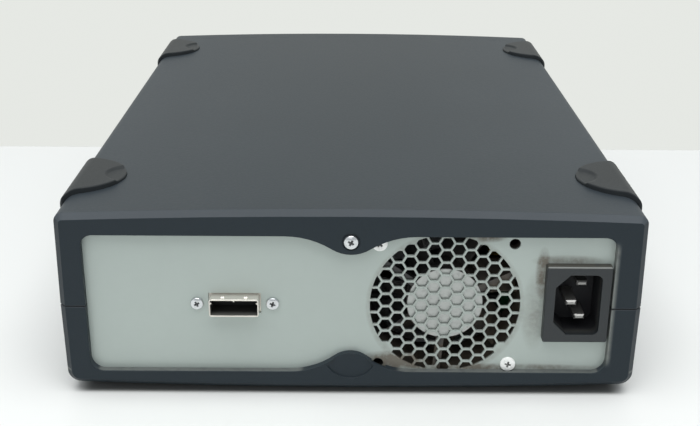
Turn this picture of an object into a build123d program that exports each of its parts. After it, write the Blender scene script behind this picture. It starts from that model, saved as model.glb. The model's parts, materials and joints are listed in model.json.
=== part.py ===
from build123d import *
from math import atan2, cos, degrees, hypot, pi, radians, sin, sqrt, tan
import os

os.makedirs("parts", exist_ok=True)

# A half-height data tape drive in its desktop case, in millimetres.
# X runs to the right seen from the front, Y from the front to the rear, Z up from the surface
# that the feet stand on. The origin is on that surface, under the middle of the whole object.

# Case
case_width = 218.4          # at the parting line
case_height = 73.9          # between the crowns of bottom and top
case_depth = 305.0          # front face to rear rim
foot_drop = 2.2             # feet below the bottom crown
crown = 2.1                 # rise of top and bottom across the width
side_draft = 0.4            # each side leans in above and below the parting line
top_round = 3.5             # long edges of the top
bottom_round = 5.0          # long edges of the bottom
edge_bevel = 2.2            # round the rear face and round the front face
seam_bevel = 0.35           # edge break that shows the parting line
wall = 2.8
rear_wall = 3.0
parting_height = 35.0       # parting line above the bottom crown
bezel_depth = 12.0
port_proud = 1.8            # the data port stands out of the rear rim

# Rear window, its tongues and the plate behind it
window_margin = 10.6        # side of the case to the window
window_shift = 0.8          # the window's middle is nearer to the port's side
window_bottom_height = 7.65
window_top_drop = 10.0      # below the top's crown
window_corner = 3.2
upper_tongue_drop = 7.2
upper_tongue_nose = 13.0
upper_tongue_flank = 32.0
lower_tongue_rise = 7.9
lower_tongue_nose = 10.0
lower_tongue_flank = 28.0
lens_depth = 0.6
lens_height = 10.5
sheet = 1.0                 # steel sheet of the plate and the tray
plate_margin = 6.5          # side of the case to the plate
plate_low_height = 5.6
plate_top_drop = 6.4        # below the top's crown

# Fan and its grille
fan_size = 60.0
fan_hole_pitch = 50.0
fan_thickness = 20.0
fan_x = -35.6
fan_height = 35.1
fan_bore = 57.0
fan_hub = 29.0
fan_blades = 7
fan_tip_gap = 0.6
blade_thickness = 1.2
hex_pitch = 5.17
hex_across = 4.4
lattice_shift = -0.85       # the hexagons' middle row below the fan's axis
grille_radius = 28.4
cell_overlap = 1.4          # a cell is cut where it reaches this far into the grille's circle
fan_corner_hole = 4.2
fan_screw_head = 5.9
fan_screw_high = 1.1
fan_screw_relief = 1.4      # hollow in the shells for the fan screws' heads

# Mains inlet
inlet_x = -84.8
inlet_height = 36.8
inlet_width = 24.4
inlet_tall = 31.2
inlet_proud = 0.5           # flange face beyond the rear rim
inlet_cavity_width = 17.2
inlet_cavity_tall = 24.6
inlet_cavity_depth = 15.0
pin_pitch = 14.0
pin_offset = 2.0
pin_wide = 4.0
pin_thick = 2.0

# Data port
port_x = 43.65
port_height = 35.4
port_width = 18.5
port_tall = 7.0
port_skin = 0.4
port_depth = 30.0
port_screw_pitch = 28.5
ear_thick = 2.2             # ears behind the plate that take the port's screws

# Pads and feet
pad_reach = 20.0            # from the side of the case to the tip
pad_half_length = 19.0
pad_lip = 1.0               # stands out of the side
pad_lip_drop = 9.0
pad_round = 2.2             # outer edge of a pad
pad_proud = 2.5             # above the edge of the top
pad_seat = 0.9              # let into the shell at the edge
pad_dish = 0.8
pad_dish_radius = 8.8
rear_pad_inset = 40.0       # pad centre from the rear face
front_pad_inset = 40.0      # pad centre from the front face

# Drive
drive_width = 146.0
drive_height = 41.3
drive_depth = 203.0
drive_margin = 14.2         # side of the case to the drive
drive_lift = 14.0           # underside of the drive above the bottom crown
bezel_overlap = 1.2         # drive bezel beyond each side of the drive
drive_bezel_setback = 0.5
drive_bezel_depth = 8.0
skin = 2.5                  # cast walls and bezel front
floor_low = 3.6             # cast floor above the underside of the drive
floor_thick = 1.8
cover_thick = 0.8
slot_width = 107.0
slot_low = 14.3
slot_high = 37.0

# Loader
cradle_inner = 106.8
cradle_sheet = 1.0
cradle_low = 13.9
cradle_high = 38.3
cradle_start = 31.0         # behind the case front
cradle_length = 95.0
cradle_travel = 5.0
cam_travel = 12.5
cam_gap = 1.6               # cradle side to cam plate
cam_sheet = 1.4
guide_gap = 1.6             # cam plate to guide bracket
follower = 3.0              # diameter of the cradle's side pins
rack_module = 0.8
pinion_teeth = 16
wheel_module = 0.6
wheel_teeth = 28
motor_teeth = 10
backlash = 0.3              # each tooth is this much thinner than half the pitch

# Fits
clearance = 0.2             # moulded and sheet pieces beside each other
running = 0.06              # radial, shaft in its bearing
screw_play = 0.05           # radial, thread in its hole

# Screws
screw_shank = 2.9
screw_head = 5.5
screw_head_high = 1.8
chassis_screw_length = 4.5
case_screw_length = 36.0
case_screw_seat = 12.0      # head seat above the bottom crown
case_screw_margin = 8.0     # from the side of the case
case_screw_inset = 33.0     # from the rear face and from the front
boss_radius = 4.0

# Levels and stations that follow from the sizes above
rear = (case_depth - port_proud) / 2
front = rear - case_depth
case_bottom = foot_drop
case_top = case_bottom + case_height
parting = case_bottom + parting_height
shell_front = front + bezel_depth
plate_rear = rear - rear_wall
plate_front = plate_rear - sheet
plate_low = case_bottom + plate_low_height
plate_high = case_top - plate_top_drop
fan_z = case_bottom + fan_height
inlet_z = case_bottom + inlet_height
port_z = case_bottom + port_height
tray_low = case_bottom + 7.0
tray_top = tray_low + sheet
drive_z = case_bottom + drive_lift
drive_front = front + drive_bezel_setback + drive_bezel_depth
drive_rear = drive_front + drive_depth
drive_x = case_width / 2 - drive_margin - drive_width / 2
drive_left = drive_x - drive_width / 2
drive_right = drive_x + drive_width / 2
window_half_width = case_width / 2 - window_margin
floor_top = drive_z + floor_low + floor_thick
cover_low = drive_z + drive_height - cover_thick
pad_stations = (rear - rear_pad_inset, front + front_pad_inset)


def across(y):
    """Upright plane at depth y: its x is X, its y is Z, and extrusions run towards the front."""
    return Plane.XZ.offset(-y)


def beside(x):
    """Upright plane at x: its x is Y, its y is Z, and extrusions run to the right."""
    return Plane.YZ.offset(x)


def level(z):
    """Flat plane at height z: extrusions rise."""
    return Plane.XY.offset(z)


def keep(piece, node):
    """Label a finished piece and write it under its node's name."""
    piece.part.label = node
    export_step(piece.part, f"parts/{node}.step")


# Outlines of the case

def half_outline(inset, upward):
    """Half of the case section, above or below the parting line, set in from the outside."""
    edge = case_top if upward else case_bottom
    turn = -1 if upward else 1
    half = case_width / 2 - inset
    far_half = half - side_draft
    shoulder = edge + turn * (crown + inset)
    with BuildLine() as outline:
        Polyline((-far_half, shoulder), (-half, parting), (half, parting), (far_half, shoulder))
        ThreePointArc((far_half, shoulder), (0, edge + turn * inset), (-far_half, shoulder))
        round_over = (top_round if upward else bottom_round) - inset
        if round_over > seam_bevel:
            shoulders = outline.vertices().filter_by(lambda v: abs(v.Y - shoulder) < seam_bevel)
            fillet(shoulders, round_over)
    make_face(outline.edges())


def tongue(edge, turn, drop, nose, flank):
    """Cut a bell of three tangent arcs that hangs from a straight edge at the centre line."""
    span = sqrt(2 * (nose + flank) * drop - drop ** 2)
    share = nose / (nose + flank)
    joint_x = span * share
    joint_z = edge + turn * (drop - nose + sqrt(nose ** 2 - joint_x ** 2))
    with BuildLine() as bell:
        TangentArc((-span, edge), (-joint_x, joint_z), tangent=(1, 0))
        ThreePointArc((-joint_x, joint_z), (0, edge + turn * drop), (joint_x, joint_z))
        TangentArc((span, edge), (joint_x, joint_z), tangent=(-1, 0))
        Line((span, edge), (-span, edge))
    make_face(bell.edges(), mode=Mode.SUBTRACT)


def rear_window():
    """Opening that the two shells leave round the rear plate, less the two tongues."""
    low, high = case_bottom + window_bottom_height, case_top - window_top_drop
    with Locations((window_shift, (low + high) / 2)):
        RectangleRounded(2 * window_half_width, high - low, window_corner)
    tongue(high, -1, upper_tongue_drop, upper_tongue_nose, upper_tongue_flank)
    tongue(low, 1, lower_tongue_rise, lower_tongue_nose, lower_tongue_flank)


def pad_plan(growth):
    """Plan of the four pads: a rounded tab that reaches in from each side of the case."""
    outer = case_width / 2 + pad_lip + growth
    for side in (-1, 1):
        with Locations(*[(side * outer, y) for y in pad_stations]):
            Ellipse(pad_reach + pad_lip + 2 * growth, pad_half_length + growth)
    Rectangle(2 * outer, case_depth, mode=Mode.INTERSECT)


def case_half(upward):
    """Solid half of the case outside, with rounded uprights, bevelled rim and the pads' seats."""
    with BuildPart() as half:
        with BuildSketch(across(rear)):
            half_outline(0, upward)
        extrude(amount=case_depth - bezel_depth)
        rear_face = half.faces().sort_by(Axis.Y)[-1]
        rim = rear_face.edges().filter_by(lambda e: abs(e.center().Z - parting) > seam_bevel)
        chamfer(rim, edge_bevel)
        behind_front = lambda e: e.center().Y > shell_front + seam_bevel
        seam_face = half.faces().sort_by(Axis.Z)[0 if upward else -1]
        chamfer(seam_face.edges().filter_by(behind_front), seam_bevel)
        seat = pad_seat_level(upward)
        with BuildSketch(level(seat)):
            pad_plan(clearance / 2)
        extrude(amount=2 * crown if upward else -2 * crown, mode=Mode.SUBTRACT)
    return half.part


def pad_seat_level(upward):
    """Height of the flat seat of the pads, let into the edge of the shell."""
    if upward:
        return case_top - crown - pad_seat
    return case_bottom + crown + pad_seat


def fan_corners():
    """The four corner holes of the fan."""
    half = fan_hole_pitch / 2
    return [(fan_x + i * half, fan_z + j * half) for i in (-1, 1) for j in (-1, 1)]


upper_half = case_half(True)
lower_half = case_half(False)


def screw_stations():
    """Plan positions of the four case screws."""
    screw_x = case_width / 2 - case_screw_margin
    ends = (rear - case_screw_inset, front + case_screw_inset)
    return [(side * screw_x, y) for side in (-1, 1) for y in ends]


# Top shell
tongue_screw_drop = 12.1    # below the top's crown
tongue_seat = 0.5
seat_play = 0.6
rib_thick = 1.4
rib_high = 3.0
long_ribs = 4
long_rib_pitch = 40.0
long_rib_end = 15.0
cross_rib_shares = (0.25, 0.5, 0.75)    # of the case's depth
cross_rib_margin = 20.0     # from the side of the case
screw_run_out = 1.0         # hole deeper than the screw
tongue_screw_z = case_top - tongue_screw_drop
cross_rib_half = case_width / 2 - cross_rib_margin
cross_rib_stations = [(0, rear - share * case_depth) for share in cross_rib_shares]

with BuildPart() as top_shell:
    add(upper_half)
    with BuildSketch(across(plate_rear)):
        half_outline(wall, True)
    extrude(amount=case_depth, mode=Mode.SUBTRACT)
    with BuildSketch(across(rear)):
        rear_window()
    extrude(amount=rear_wall, mode=Mode.SUBTRACT)
    with BuildSketch(level(parting)):
        with Locations(*screw_stations()):
            Circle(boss_radius)
    extrude(until=Until.NEXT)
    with BuildSketch(level(parting)):
        with Locations(*screw_stations()):
            Circle(screw_shank / 2 + screw_play)
    screw_reach = case_screw_length - (parting_height - case_screw_seat)
    extrude(amount=screw_reach + screw_run_out, mode=Mode.SUBTRACT)
    with BuildSketch(level(case_top - wall - crown - rib_high)):
        with Locations((0, (plate_front + shell_front) / 2)):
            with GridLocations(long_rib_pitch, 0, long_ribs, 1):
                Rectangle(rib_thick, plate_front - shell_front - 2 * long_rib_end)
        with Locations(*cross_rib_stations):
            Rectangle(2 * cross_rib_half, rib_thick)
    extrude(until=Until.NEXT)
    with BuildSketch(across(rear)):
        with Locations((0, tongue_screw_z)):
            Circle(screw_shank / 2 + clearance)
    extrude(amount=rear_wall, mode=Mode.SUBTRACT)
    with BuildSketch(across(rear)):
        with Locations((0, tongue_screw_z)):
            Circle(screw_head / 2 + seat_play)
    extrude(amount=tongue_seat, mode=Mode.SUBTRACT)
    with BuildSketch(across(plate_rear + fan_screw_relief)):
        with Locations(*fan_corners()):
            Circle(fan_screw_head / 2 + clearance)
    extrude(amount=fan_screw_relief, mode=Mode.SUBTRACT)
keep(top_shell, "top_shell")

# Bottom shell
tray_screw_margin = 21.0    # from the side of the case
tray_screw_rear = 11.0      # from the rear face
tray_screw_front = 25.0     # from the front
tray_screw_ends = (rear - tray_screw_rear, front + tray_screw_front)
tray_stations = [
    (side * (case_width / 2 - tray_screw_margin), y) for side in (-1, 1) for y in tray_screw_ends
]
lens_top = case_bottom + window_bottom_height + lower_tongue_rise
floor_rib_high = 1.0        # above the shell's floor at its sides

with BuildPart() as bottom_shell:
    add(lower_half)
    with BuildSketch(across(plate_rear)):
        half_outline(wall, False)
    extrude(amount=case_depth, mode=Mode.SUBTRACT)
    with BuildSketch(across(rear)):
        rear_window()
    extrude(amount=rear_wall, mode=Mode.SUBTRACT)
    with BuildSketch(across(rear)):
        with Locations((0, lens_top - lower_tongue_nose)):
            Circle(lower_tongue_nose)
        with Locations((0, lens_top - lens_height + lower_tongue_nose)):
            Circle(lower_tongue_nose, mode=Mode.INTERSECT)
    extrude(amount=lens_depth, mode=Mode.SUBTRACT)
    with BuildSketch(across(plate_rear + fan_screw_relief)):
        with Locations(*fan_corners()):
            Circle(fan_screw_head / 2 + clearance)
    extrude(amount=fan_screw_relief, mode=Mode.SUBTRACT)
    with BuildSketch(level(parting)):
        with Locations(*screw_stations()):
            Circle(boss_radius)
    extrude(until=Until.NEXT, dir=(0, 0, -1))
    with BuildSketch(level(tray_low)):
        with Locations(*tray_stations):
            Circle(boss_radius)
    extrude(until=Until.NEXT, dir=(0, 0, -1))
    with BuildSketch(level(case_bottom + wall + crown + floor_rib_high)):
        with Locations(*cross_rib_stations):
            Rectangle(2 * cross_rib_half, rib_thick)
    extrude(until=Until.NEXT, dir=(0, 0, -1))
    with BuildSketch(level(parting)):
        with Locations(*screw_stations()):
            Circle(screw_shank / 2 + screw_play)
    extrude(amount=-parting, mode=Mode.SUBTRACT)
    with BuildSketch(level(0)):
        with Locations(*screw_stations()):
            Circle(screw_head / 2 + clearance)
    extrude(amount=case_bottom + case_screw_seat, mode=Mode.SUBTRACT)
    with BuildSketch(level(tray_low)):
        with Locations(*tray_stations):
            Circle(screw_shank / 2 + screw_play)
    extrude(amount=-chassis_screw_length, mode=Mode.SUBTRACT)
keep(bottom_shell, "bottom_shell")


# Rubber pads on top and feet below
def rubber(upward):
    """Four tabs seated in the shell's edge, lapping over its side, each with a dish at its tip."""
    turn = 1 if upward else -1
    edge = case_top - crown if upward else case_bottom + crown
    outer = edge + pad_proud if upward else 0
    with BuildPart() as tabs:
        with BuildSketch(level(edge - turn * pad_lip_drop)):
            pad_plan(0)
        extrude(amount=outer - edge + turn * pad_lip_drop)
        add(upper_half if upward else lower_half, mode=Mode.SUBTRACT)
        with BuildSketch(level(outer)):
            for side in (-1, 1):
                tip = side * (case_width / 2 - pad_reach - pad_lip)
                with Locations(*[(tip, y) for y in pad_stations]):
                    Circle(pad_dish_radius)
        extrude(amount=-turn * pad_dish, mode=Mode.SUBTRACT)
        outside = tabs.edges().filter_by(Axis.Y).filter_by(lambda e: abs(e.center().Z - outer) < pad_dish / 2)
        fillet(outside.filter_by(lambda e: abs(e.center().X) > case_width / 2), pad_round)
    return tabs


top_pads = rubber(True)
keep(top_pads, "top_pads")
bottom_feet = rubber(False)
keep(bottom_feet, "bottom_feet")

# Rear plate with the clipped hexagon grille
flange_reach = 15.0
flange_margin = 15.0        # side of the case to the flange
notch_play = 2.0
port_gap = 0.6
inlet_body_width = 20.0
inlet_body_tall = 27.0


def grille_cells():
    """Centres of the hexagons that reach into the grille's circle."""
    column = hex_pitch * cos(pi / 6)
    count = int(grille_radius / column) + 2
    cells = [
        (i * column, (j + i % 2 / 2) * hex_pitch + lattice_shift)
        for i in range(-count, count + 1)
        for j in range(-count, count + 1)
    ]
    reach = grille_radius + hex_across / 2 - cell_overlap
    return [(fan_x + x, fan_z + z) for x, z in cells if hypot(x, z) < reach]


port_screw_spots = [(port_x + side * port_screw_pitch / 2, port_z) for side in (-1, 1)]

with BuildSketch() as grille:
    with Locations(*grille_cells()):
        RegularPolygon(hex_across / sqrt(3), 6)
    with Locations((fan_x, fan_z)):
        Circle(grille_radius, mode=Mode.INTERSECT)

with BuildPart() as rear_plate:
    with BuildSketch(across(plate_rear)):
        with Locations((0, (plate_low + plate_high) / 2)):
            Rectangle(case_width - 2 * plate_margin, plate_high - plate_low)
        add(grille.sketch, mode=Mode.SUBTRACT)
        with Locations(*fan_corners()):
            Circle(fan_corner_hole / 2, mode=Mode.SUBTRACT)
        with Locations((inlet_x, inlet_z)):
            cut_width, cut_tall = inlet_body_width + 2 * clearance, inlet_body_tall + 2 * clearance
            Rectangle(cut_width, cut_tall, mode=Mode.SUBTRACT)
        with Locations((port_x, port_z)):
            Rectangle(port_width + 2 * port_gap, port_tall + 2 * port_gap, mode=Mode.SUBTRACT)
        with Locations(*port_screw_spots, (0, tongue_screw_z)):
            Circle(screw_shank / 2 + screw_play, mode=Mode.SUBTRACT)
    extrude(amount=sheet)
    with BuildSketch(level(tray_top)):
        with Locations((0, plate_rear - flange_reach / 2)):
            Rectangle(case_width - 2 * flange_margin, flange_reach)
        with Locations((fan_x, plate_rear - flange_reach / 2)):
            Rectangle(fan_size + 2 * notch_play, flange_reach, mode=Mode.SUBTRACT)
        with Locations(*tray_stations):
            Circle(screw_shank / 2 + screw_play, mode=Mode.SUBTRACT)
    extrude(amount=sheet)
keep(rear_plate, "rear_plate")

# Chassis tray
tray_margin = 12.7          # side of the case to the tray
tray_end_inset = 21.0       # from the front
tray_lip_high = 4.0
tray_lip_half = 63.0
tray_slot_length = 18.0
tray_slot_width = 8.0
tray_slot_pitch_x = 30.0
tray_slot_pitch_y = 34.0
rail_sheet = 1.2
rail_flange = 14.0
rail_start = 30.0
rail_length = 130.0
rail_high = 22.0
rail_screw_alongs = (20.0, 110.0)
rail_spots = [
    (x, front + rail_start + along)
    for x in (drive_left + rail_flange / 2, drive_right - rail_flange / 2)
    for along in rail_screw_alongs
]

with BuildPart() as chassis_tray:
    with BuildSketch(level(tray_low)):
        tray_rear, tray_front = plate_front - clearance, front + tray_end_inset
        with Locations((0, (tray_rear + tray_front) / 2)):
            Rectangle(case_width - 2 * tray_margin, tray_rear - tray_front)
        with Locations((fan_x, plate_front)):
            notch_deep = fan_thickness + notch_play
            Rectangle(fan_size + 2 * notch_play, 2 * notch_deep, mode=Mode.SUBTRACT)
        with Locations(*tray_stations, *rail_spots):
            Circle(screw_shank / 2 + screw_play, mode=Mode.SUBTRACT)
        with Locations((drive_x, front + rail_start + rail_length / 2)):
            with GridLocations(tray_slot_pitch_x, tray_slot_pitch_y, 3, 3):
                SlotOverall(tray_slot_length, tray_slot_width, mode=Mode.SUBTRACT)
    extrude(amount=sheet)
    with BuildSketch(level(tray_top)):
        with Locations((drive_x, tray_front + sheet / 2)):
            Rectangle(2 * tray_lip_half, sheet)
    extrude(amount=tray_lip_high)
keep(chassis_tray, "chassis_tray")

# Rails that carry the drive by its side screws
side_screw_high = 10.0
side_screw_alongs = (52.3, 131.6)
side_screw_stations = [drive_front + along for along in side_screw_alongs]

with BuildPart() as drive_rails:
    for side, edge in ((-1, drive_left), (1, drive_right)):
        with BuildSketch(level(tray_top)):
            with Locations((edge + side * rail_sheet / 2, front + rail_start + rail_length / 2)):
                Rectangle(rail_sheet, rail_length)
        extrude(amount=rail_high)
        with BuildSketch(level(tray_top)):
            middle = edge - side * (rail_flange - rail_sheet) / 2
            with Locations((middle, front + rail_start + rail_length / 2)):
                Rectangle(rail_flange + rail_sheet, rail_length)
        extrude(amount=rail_sheet)
    with BuildSketch(beside(drive_left - rail_sheet)):
        with Locations(*[(y, drive_z + side_screw_high) for y in side_screw_stations]):
            Circle(screw_shank / 2 + screw_play)
    extrude(amount=drive_width + 2 * rail_sheet, mode=Mode.SUBTRACT)
    with BuildSketch(level(tray_top)):
        with Locations(*rail_spots):
            Circle(screw_shank / 2 + screw_play)
    extrude(amount=rail_sheet, mode=Mode.SUBTRACT)
keep(drive_rails, "drive_rails")


# Screws
head_taper = 16.0
cross_long = 0.52           # of the head's diameter
cross_wide = 0.13
cross_deep = 0.6            # of the head's height


def pan_screws(seats, length, head=screw_head, high=screw_head_high, shank=screw_shank):
    """Screws with a tapered head and a cross recess; each seat's plane looks out of the head."""
    with BuildPart() as group:
        with BuildSketch(*seats):
            Circle(head / 2)
        extrude(amount=high, taper=head_taper)
        with BuildSketch(*[seat.offset(high) for seat in seats]):
            Rectangle(head * cross_long, head * cross_wide)
            Rectangle(head * cross_wide, head * cross_long)
        extrude(amount=-high * cross_deep, mode=Mode.SUBTRACT)
        with BuildSketch(*seats):
            Circle(shank / 2)
        extrude(amount=-length)
    return group


def upright(x, y, z):
    """Seat of a screw driven down."""
    return Plane(origin=(x, y, z), x_dir=(1, 0, 0), z_dir=(0, 0, 1))


def rearward(x, y, z):
    """Seat of a screw driven in from the rear."""
    return Plane(origin=(x, y, z), x_dir=(1, 0, 0), z_dir=(0, 1, 0))


tray_seats = [
    upright(x, y, tray_top + (sheet if y > 0 else 0)) for x, y in tray_stations
] + [upright(x, y, tray_top + rail_sheet) for x, y in rail_spots]
chassis_screws = pan_screws(tray_seats, chassis_screw_length)
keep(chassis_screws, "chassis_screws")

case_seats = [
    Plane(origin=(x, y, case_bottom + case_screw_seat), x_dir=(1, 0, 0), z_dir=(0, 0, -1))
    for x, y in screw_stations()
]
case_screws = pan_screws(case_seats, case_screw_length)
keep(case_screws, "case_screws")

plate_screw_length = 6.0
tongue_seat_plane = rearward(0, rear - tongue_seat, tongue_screw_z)
plate_screw = pan_screws([tongue_seat_plane], plate_screw_length)
keep(plate_screw, "plate_screw")

port_screw_head = 5.0
port_screw_high = 1.5
port_screws = pan_screws(
    [rearward(x, plate_rear, z) for x, z in port_screw_spots],
    sheet + ear_thick,
    head=port_screw_head,
    high=port_screw_high,
)
keep(port_screws, "port_screws")

flat_head_high = 0.7
drive_screws = pan_screws(
    [
        Plane(
            origin=(edge + side * rail_sheet, y, drive_z + side_screw_high),
            x_dir=(0, 1, 0),
            z_dir=(side, 0, 0),
        )
        for side, edge in ((-1, drive_left), (1, drive_right))
        for y in side_screw_stations
    ],
    rail_sheet + skin,
    high=flat_head_high,
)
keep(drive_screws, "drive_screws")

# Fan
fan_rear = plate_front - clearance
fan_flange = 3.5
fan_strut = 3.0
fan_tube = 3.4
fan_tube_end = 5.0
fan_corner = 4.0
strut_start = 35.0
shaft_radius = 1.5
hub_base = 2.6
rotor_gap = 1.0
rotor_wall = 1.4
rotor_front = fan_rear - fan_thickness + 1.0
rotor_rear = fan_rear - hub_base - rotor_gap


def fan_plane(y):
    """Plane across the fan's axis at depth y, with extrusions towards the front."""
    return Plane(origin=(fan_x, y, fan_z), x_dir=(1, 0, 0), z_dir=(0, -1, 0))


with BuildPart() as fan_frame:
    with BuildSketch(fan_plane(fan_rear)):
        RectangleRounded(fan_size, fan_size, fan_corner)
        Circle(fan_bore / 2, mode=Mode.SUBTRACT)
        with GridLocations(fan_hole_pitch, fan_hole_pitch, 2, 2):
            Circle(fan_corner_hole / 2, mode=Mode.SUBTRACT)
    extrude(amount=fan_thickness)
    with BuildSketch(fan_plane(fan_rear - fan_flange)):
        Rectangle(fan_size, fan_size)
        Circle(fan_size / 2, mode=Mode.SUBTRACT)
    extrude(amount=fan_thickness - 2 * fan_flange, mode=Mode.SUBTRACT)
    with BuildSketch(fan_plane(fan_rear - clearance)):
        Circle(fan_hub / 2)
        strut_end = (fan_bore + fan_size) / 4
        with PolarLocations(strut_end / 2, 3, start_angle=strut_start):
            Rectangle(strut_end, fan_strut)
    extrude(amount=hub_base - clearance)
    with BuildSketch(fan_plane(fan_rear - hub_base)):
        Circle(fan_tube)
    extrude(amount=fan_thickness - hub_base - fan_tube_end)
    with BuildSketch(fan_plane(fan_rear - hub_base)):
        Circle(shaft_radius + running)
    extrude(amount=fan_thickness, mode=Mode.SUBTRACT)
keep(fan_frame, "fan_frame")

label_edge = 0.3
with BuildPart() as fan_label:
    with BuildSketch(fan_plane(fan_rear)):
        Circle(fan_hub / 2 - label_edge)
    extrude(amount=clearance)
keep(fan_label, "fan_label")

stator_poles = 4
stator_ring = 6.0
stator_gap = 1.0            # stator's shoes to the rotor cup
stator_setback = 1.5
stator_deep = 8.0
pole_width = 3.0
shoe_width = 9.0
shoe_thick = 1.6
with BuildPart() as fan_stator:
    with BuildSketch(fan_plane(rotor_rear - stator_setback)):
        stator_radius = fan_hub / 2 - rotor_wall - stator_gap
        Circle(stator_ring)
        with PolarLocations(stator_radius / 2 + stator_gap, stator_poles):
            Rectangle(stator_radius - 2 * stator_gap, pole_width)
        with PolarLocations(stator_radius - shoe_thick, stator_poles):
            Rectangle(2 * shoe_thick, shoe_width)
        Circle(stator_radius, mode=Mode.INTERSECT)
        Circle(fan_tube + screw_play, mode=Mode.SUBTRACT)
    extrude(amount=stator_deep)
keep(fan_stator, "fan_stator")


def blade_station(radius, chord, pitch, lean):
    """Section of a blade across its radius, turned to its pitch and leaned round the hub."""
    middle = (rotor_front + rotor_rear) / 2
    place = Plane(origin=(fan_x + radius, middle, fan_z + lean), x_dir=(0, 1, 0), z_dir=(1, 0, 0))
    with BuildSketch(place) as section:
        Rectangle(chord, blade_thickness, rotation=pitch)
    return section.sketch


tip_radius = fan_bore / 2 - fan_tip_gap
hub_radius = fan_hub / 2
blade_overrun = 1.5         # blade stock beyond the hub and the tip circle
blade_radii = (hub_radius - blade_overrun, (hub_radius + tip_radius) / 2, tip_radius + blade_overrun)
blade_chords = (14.0, 15.0, 16.0)
blade_pitches = (48.0, 38.0, 30.0)
blade_leans = (0.0, 2.5, 7.0)
with BuildPart() as blade:
    loft(
        [
            blade_station(*station)
            for station in zip(blade_radii, blade_chords, blade_pitches, blade_leans)
        ]
    )

with BuildPart() as fan_rotor:
    fan_axis = Axis((fan_x, 0, fan_z), (0, 1, 0))
    for i in range(fan_blades):
        add(blade.part.rotate(fan_axis, i * 360 / fan_blades))
    with BuildSketch(fan_plane(rotor_rear)):
        Circle(tip_radius)
    extrude(amount=rotor_rear - rotor_front, mode=Mode.INTERSECT)
    with BuildSketch(fan_plane(rotor_rear)):
        Circle(hub_radius)
    extrude(amount=rotor_rear - rotor_front)
    with BuildSketch(fan_plane(rotor_rear)):
        Circle(hub_radius - rotor_wall)
    extrude(amount=rotor_rear - rotor_front - rotor_wall, mode=Mode.SUBTRACT)
    with BuildSketch(fan_plane(fan_rear - hub_base)):
        Circle(shaft_radius)
    extrude(amount=fan_rear - hub_base - rotor_front)
keep(fan_rotor, "fan_rotor")

fan_screw_length = 9.0
fan_screws = pan_screws(
    [rearward(x, plate_rear, z) for x, z in (fan_corners()[0], fan_corners()[3])],
    fan_screw_length,
    head=fan_screw_head,
    high=fan_screw_high,
    shank=fan_corner_hole - 2 * screw_play,
)
keep(fan_screws, "fan_screws")

# Mains inlet, standing on end in the plate
inlet_face = rear + inlet_proud
inlet_behind = 16.0
inlet_corner = 0.8
inlet_rim = 0.4
inlet_chamfer = 5.2
inlet_cavity_corner = 2.4
pin_tip = 4.5               # inside the flange face
earth_tip = 2.0             # the middle pin reaches further out
pin_tab = 3.0               # beyond the back of the body
pin_point = 0.6
pin_spots = [
    (inlet_x - pin_offset, inlet_z + pin_pitch / 2),
    (inlet_x - pin_offset, inlet_z - pin_pitch / 2),
    (inlet_x + pin_offset, inlet_z),
]

with BuildPart() as inlet_body:
    with BuildSketch(across(inlet_face)):
        with Locations((inlet_x, inlet_z)):
            RectangleRounded(inlet_width, inlet_tall, inlet_corner)
    extrude(amount=inlet_proud + rear_wall)
    flange_rim = inlet_body.faces().sort_by(Axis.Y)[-1].edges()
    chamfer(flange_rim, inlet_rim)
    with BuildSketch(across(plate_rear)):
        with Locations((inlet_x, inlet_z)):
            Rectangle(inlet_body_width, inlet_body_tall)
    extrude(amount=inlet_behind)
    with BuildSketch(across(inlet_face)) as cavity:
        with Locations((inlet_x, inlet_z)):
            Rectangle(inlet_cavity_width, inlet_cavity_tall)
        earth_side = cavity.vertices().sort_by(Axis.X)[-2:]
        live_side = cavity.vertices().sort_by(Axis.X)[:2]
        chamfer(earth_side, inlet_chamfer)
        fillet(live_side, inlet_cavity_corner)
    extrude(amount=inlet_cavity_depth, mode=Mode.SUBTRACT)
    with BuildSketch(across(inlet_face)):
        with Locations(*pin_spots):
            Rectangle(pin_wide + 2 * screw_play, pin_thick + 2 * screw_play)
    extrude(amount=inlet_proud + rear_wall + inlet_behind, mode=Mode.SUBTRACT)
keep(inlet_body, "inlet_body")

with BuildPart() as inlet_pins:
    for spots, tip in ((pin_spots[:2], pin_tip), (pin_spots[2:], earth_tip)):
        with BuildSketch(across(inlet_face - tip)):
            with Locations(*spots):
                Rectangle(pin_wide, pin_thick)
        extrude(amount=inlet_proud + rear_wall + inlet_behind + pin_tab - tip)
        chamfer(inlet_pins.faces().group_by(Axis.Y)[-1].edges(), pin_point)
keep(inlet_pins, "inlet_pins")

# Data port
port_face = rear + port_proud
cage_corner = 0.8
ear_width_over = 3.0
ear_tall_over = 1.0
latch_half_pitch = 4.35
latch_width = 1.2
latch_length = 2.6
receptacle_setback = 9.0
receptacle_corner = 0.5
receptacle_mouth = 8.0
receptacle_wall_x = 1.75
receptacle_wall_z = 1.4
contact_inset = 3.0
contact_thick = 1.0
contact_length = 7.0
block_width = port_width - 2 * port_skin - clearance
block_tall = port_tall - 2 * port_skin - clearance

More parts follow.
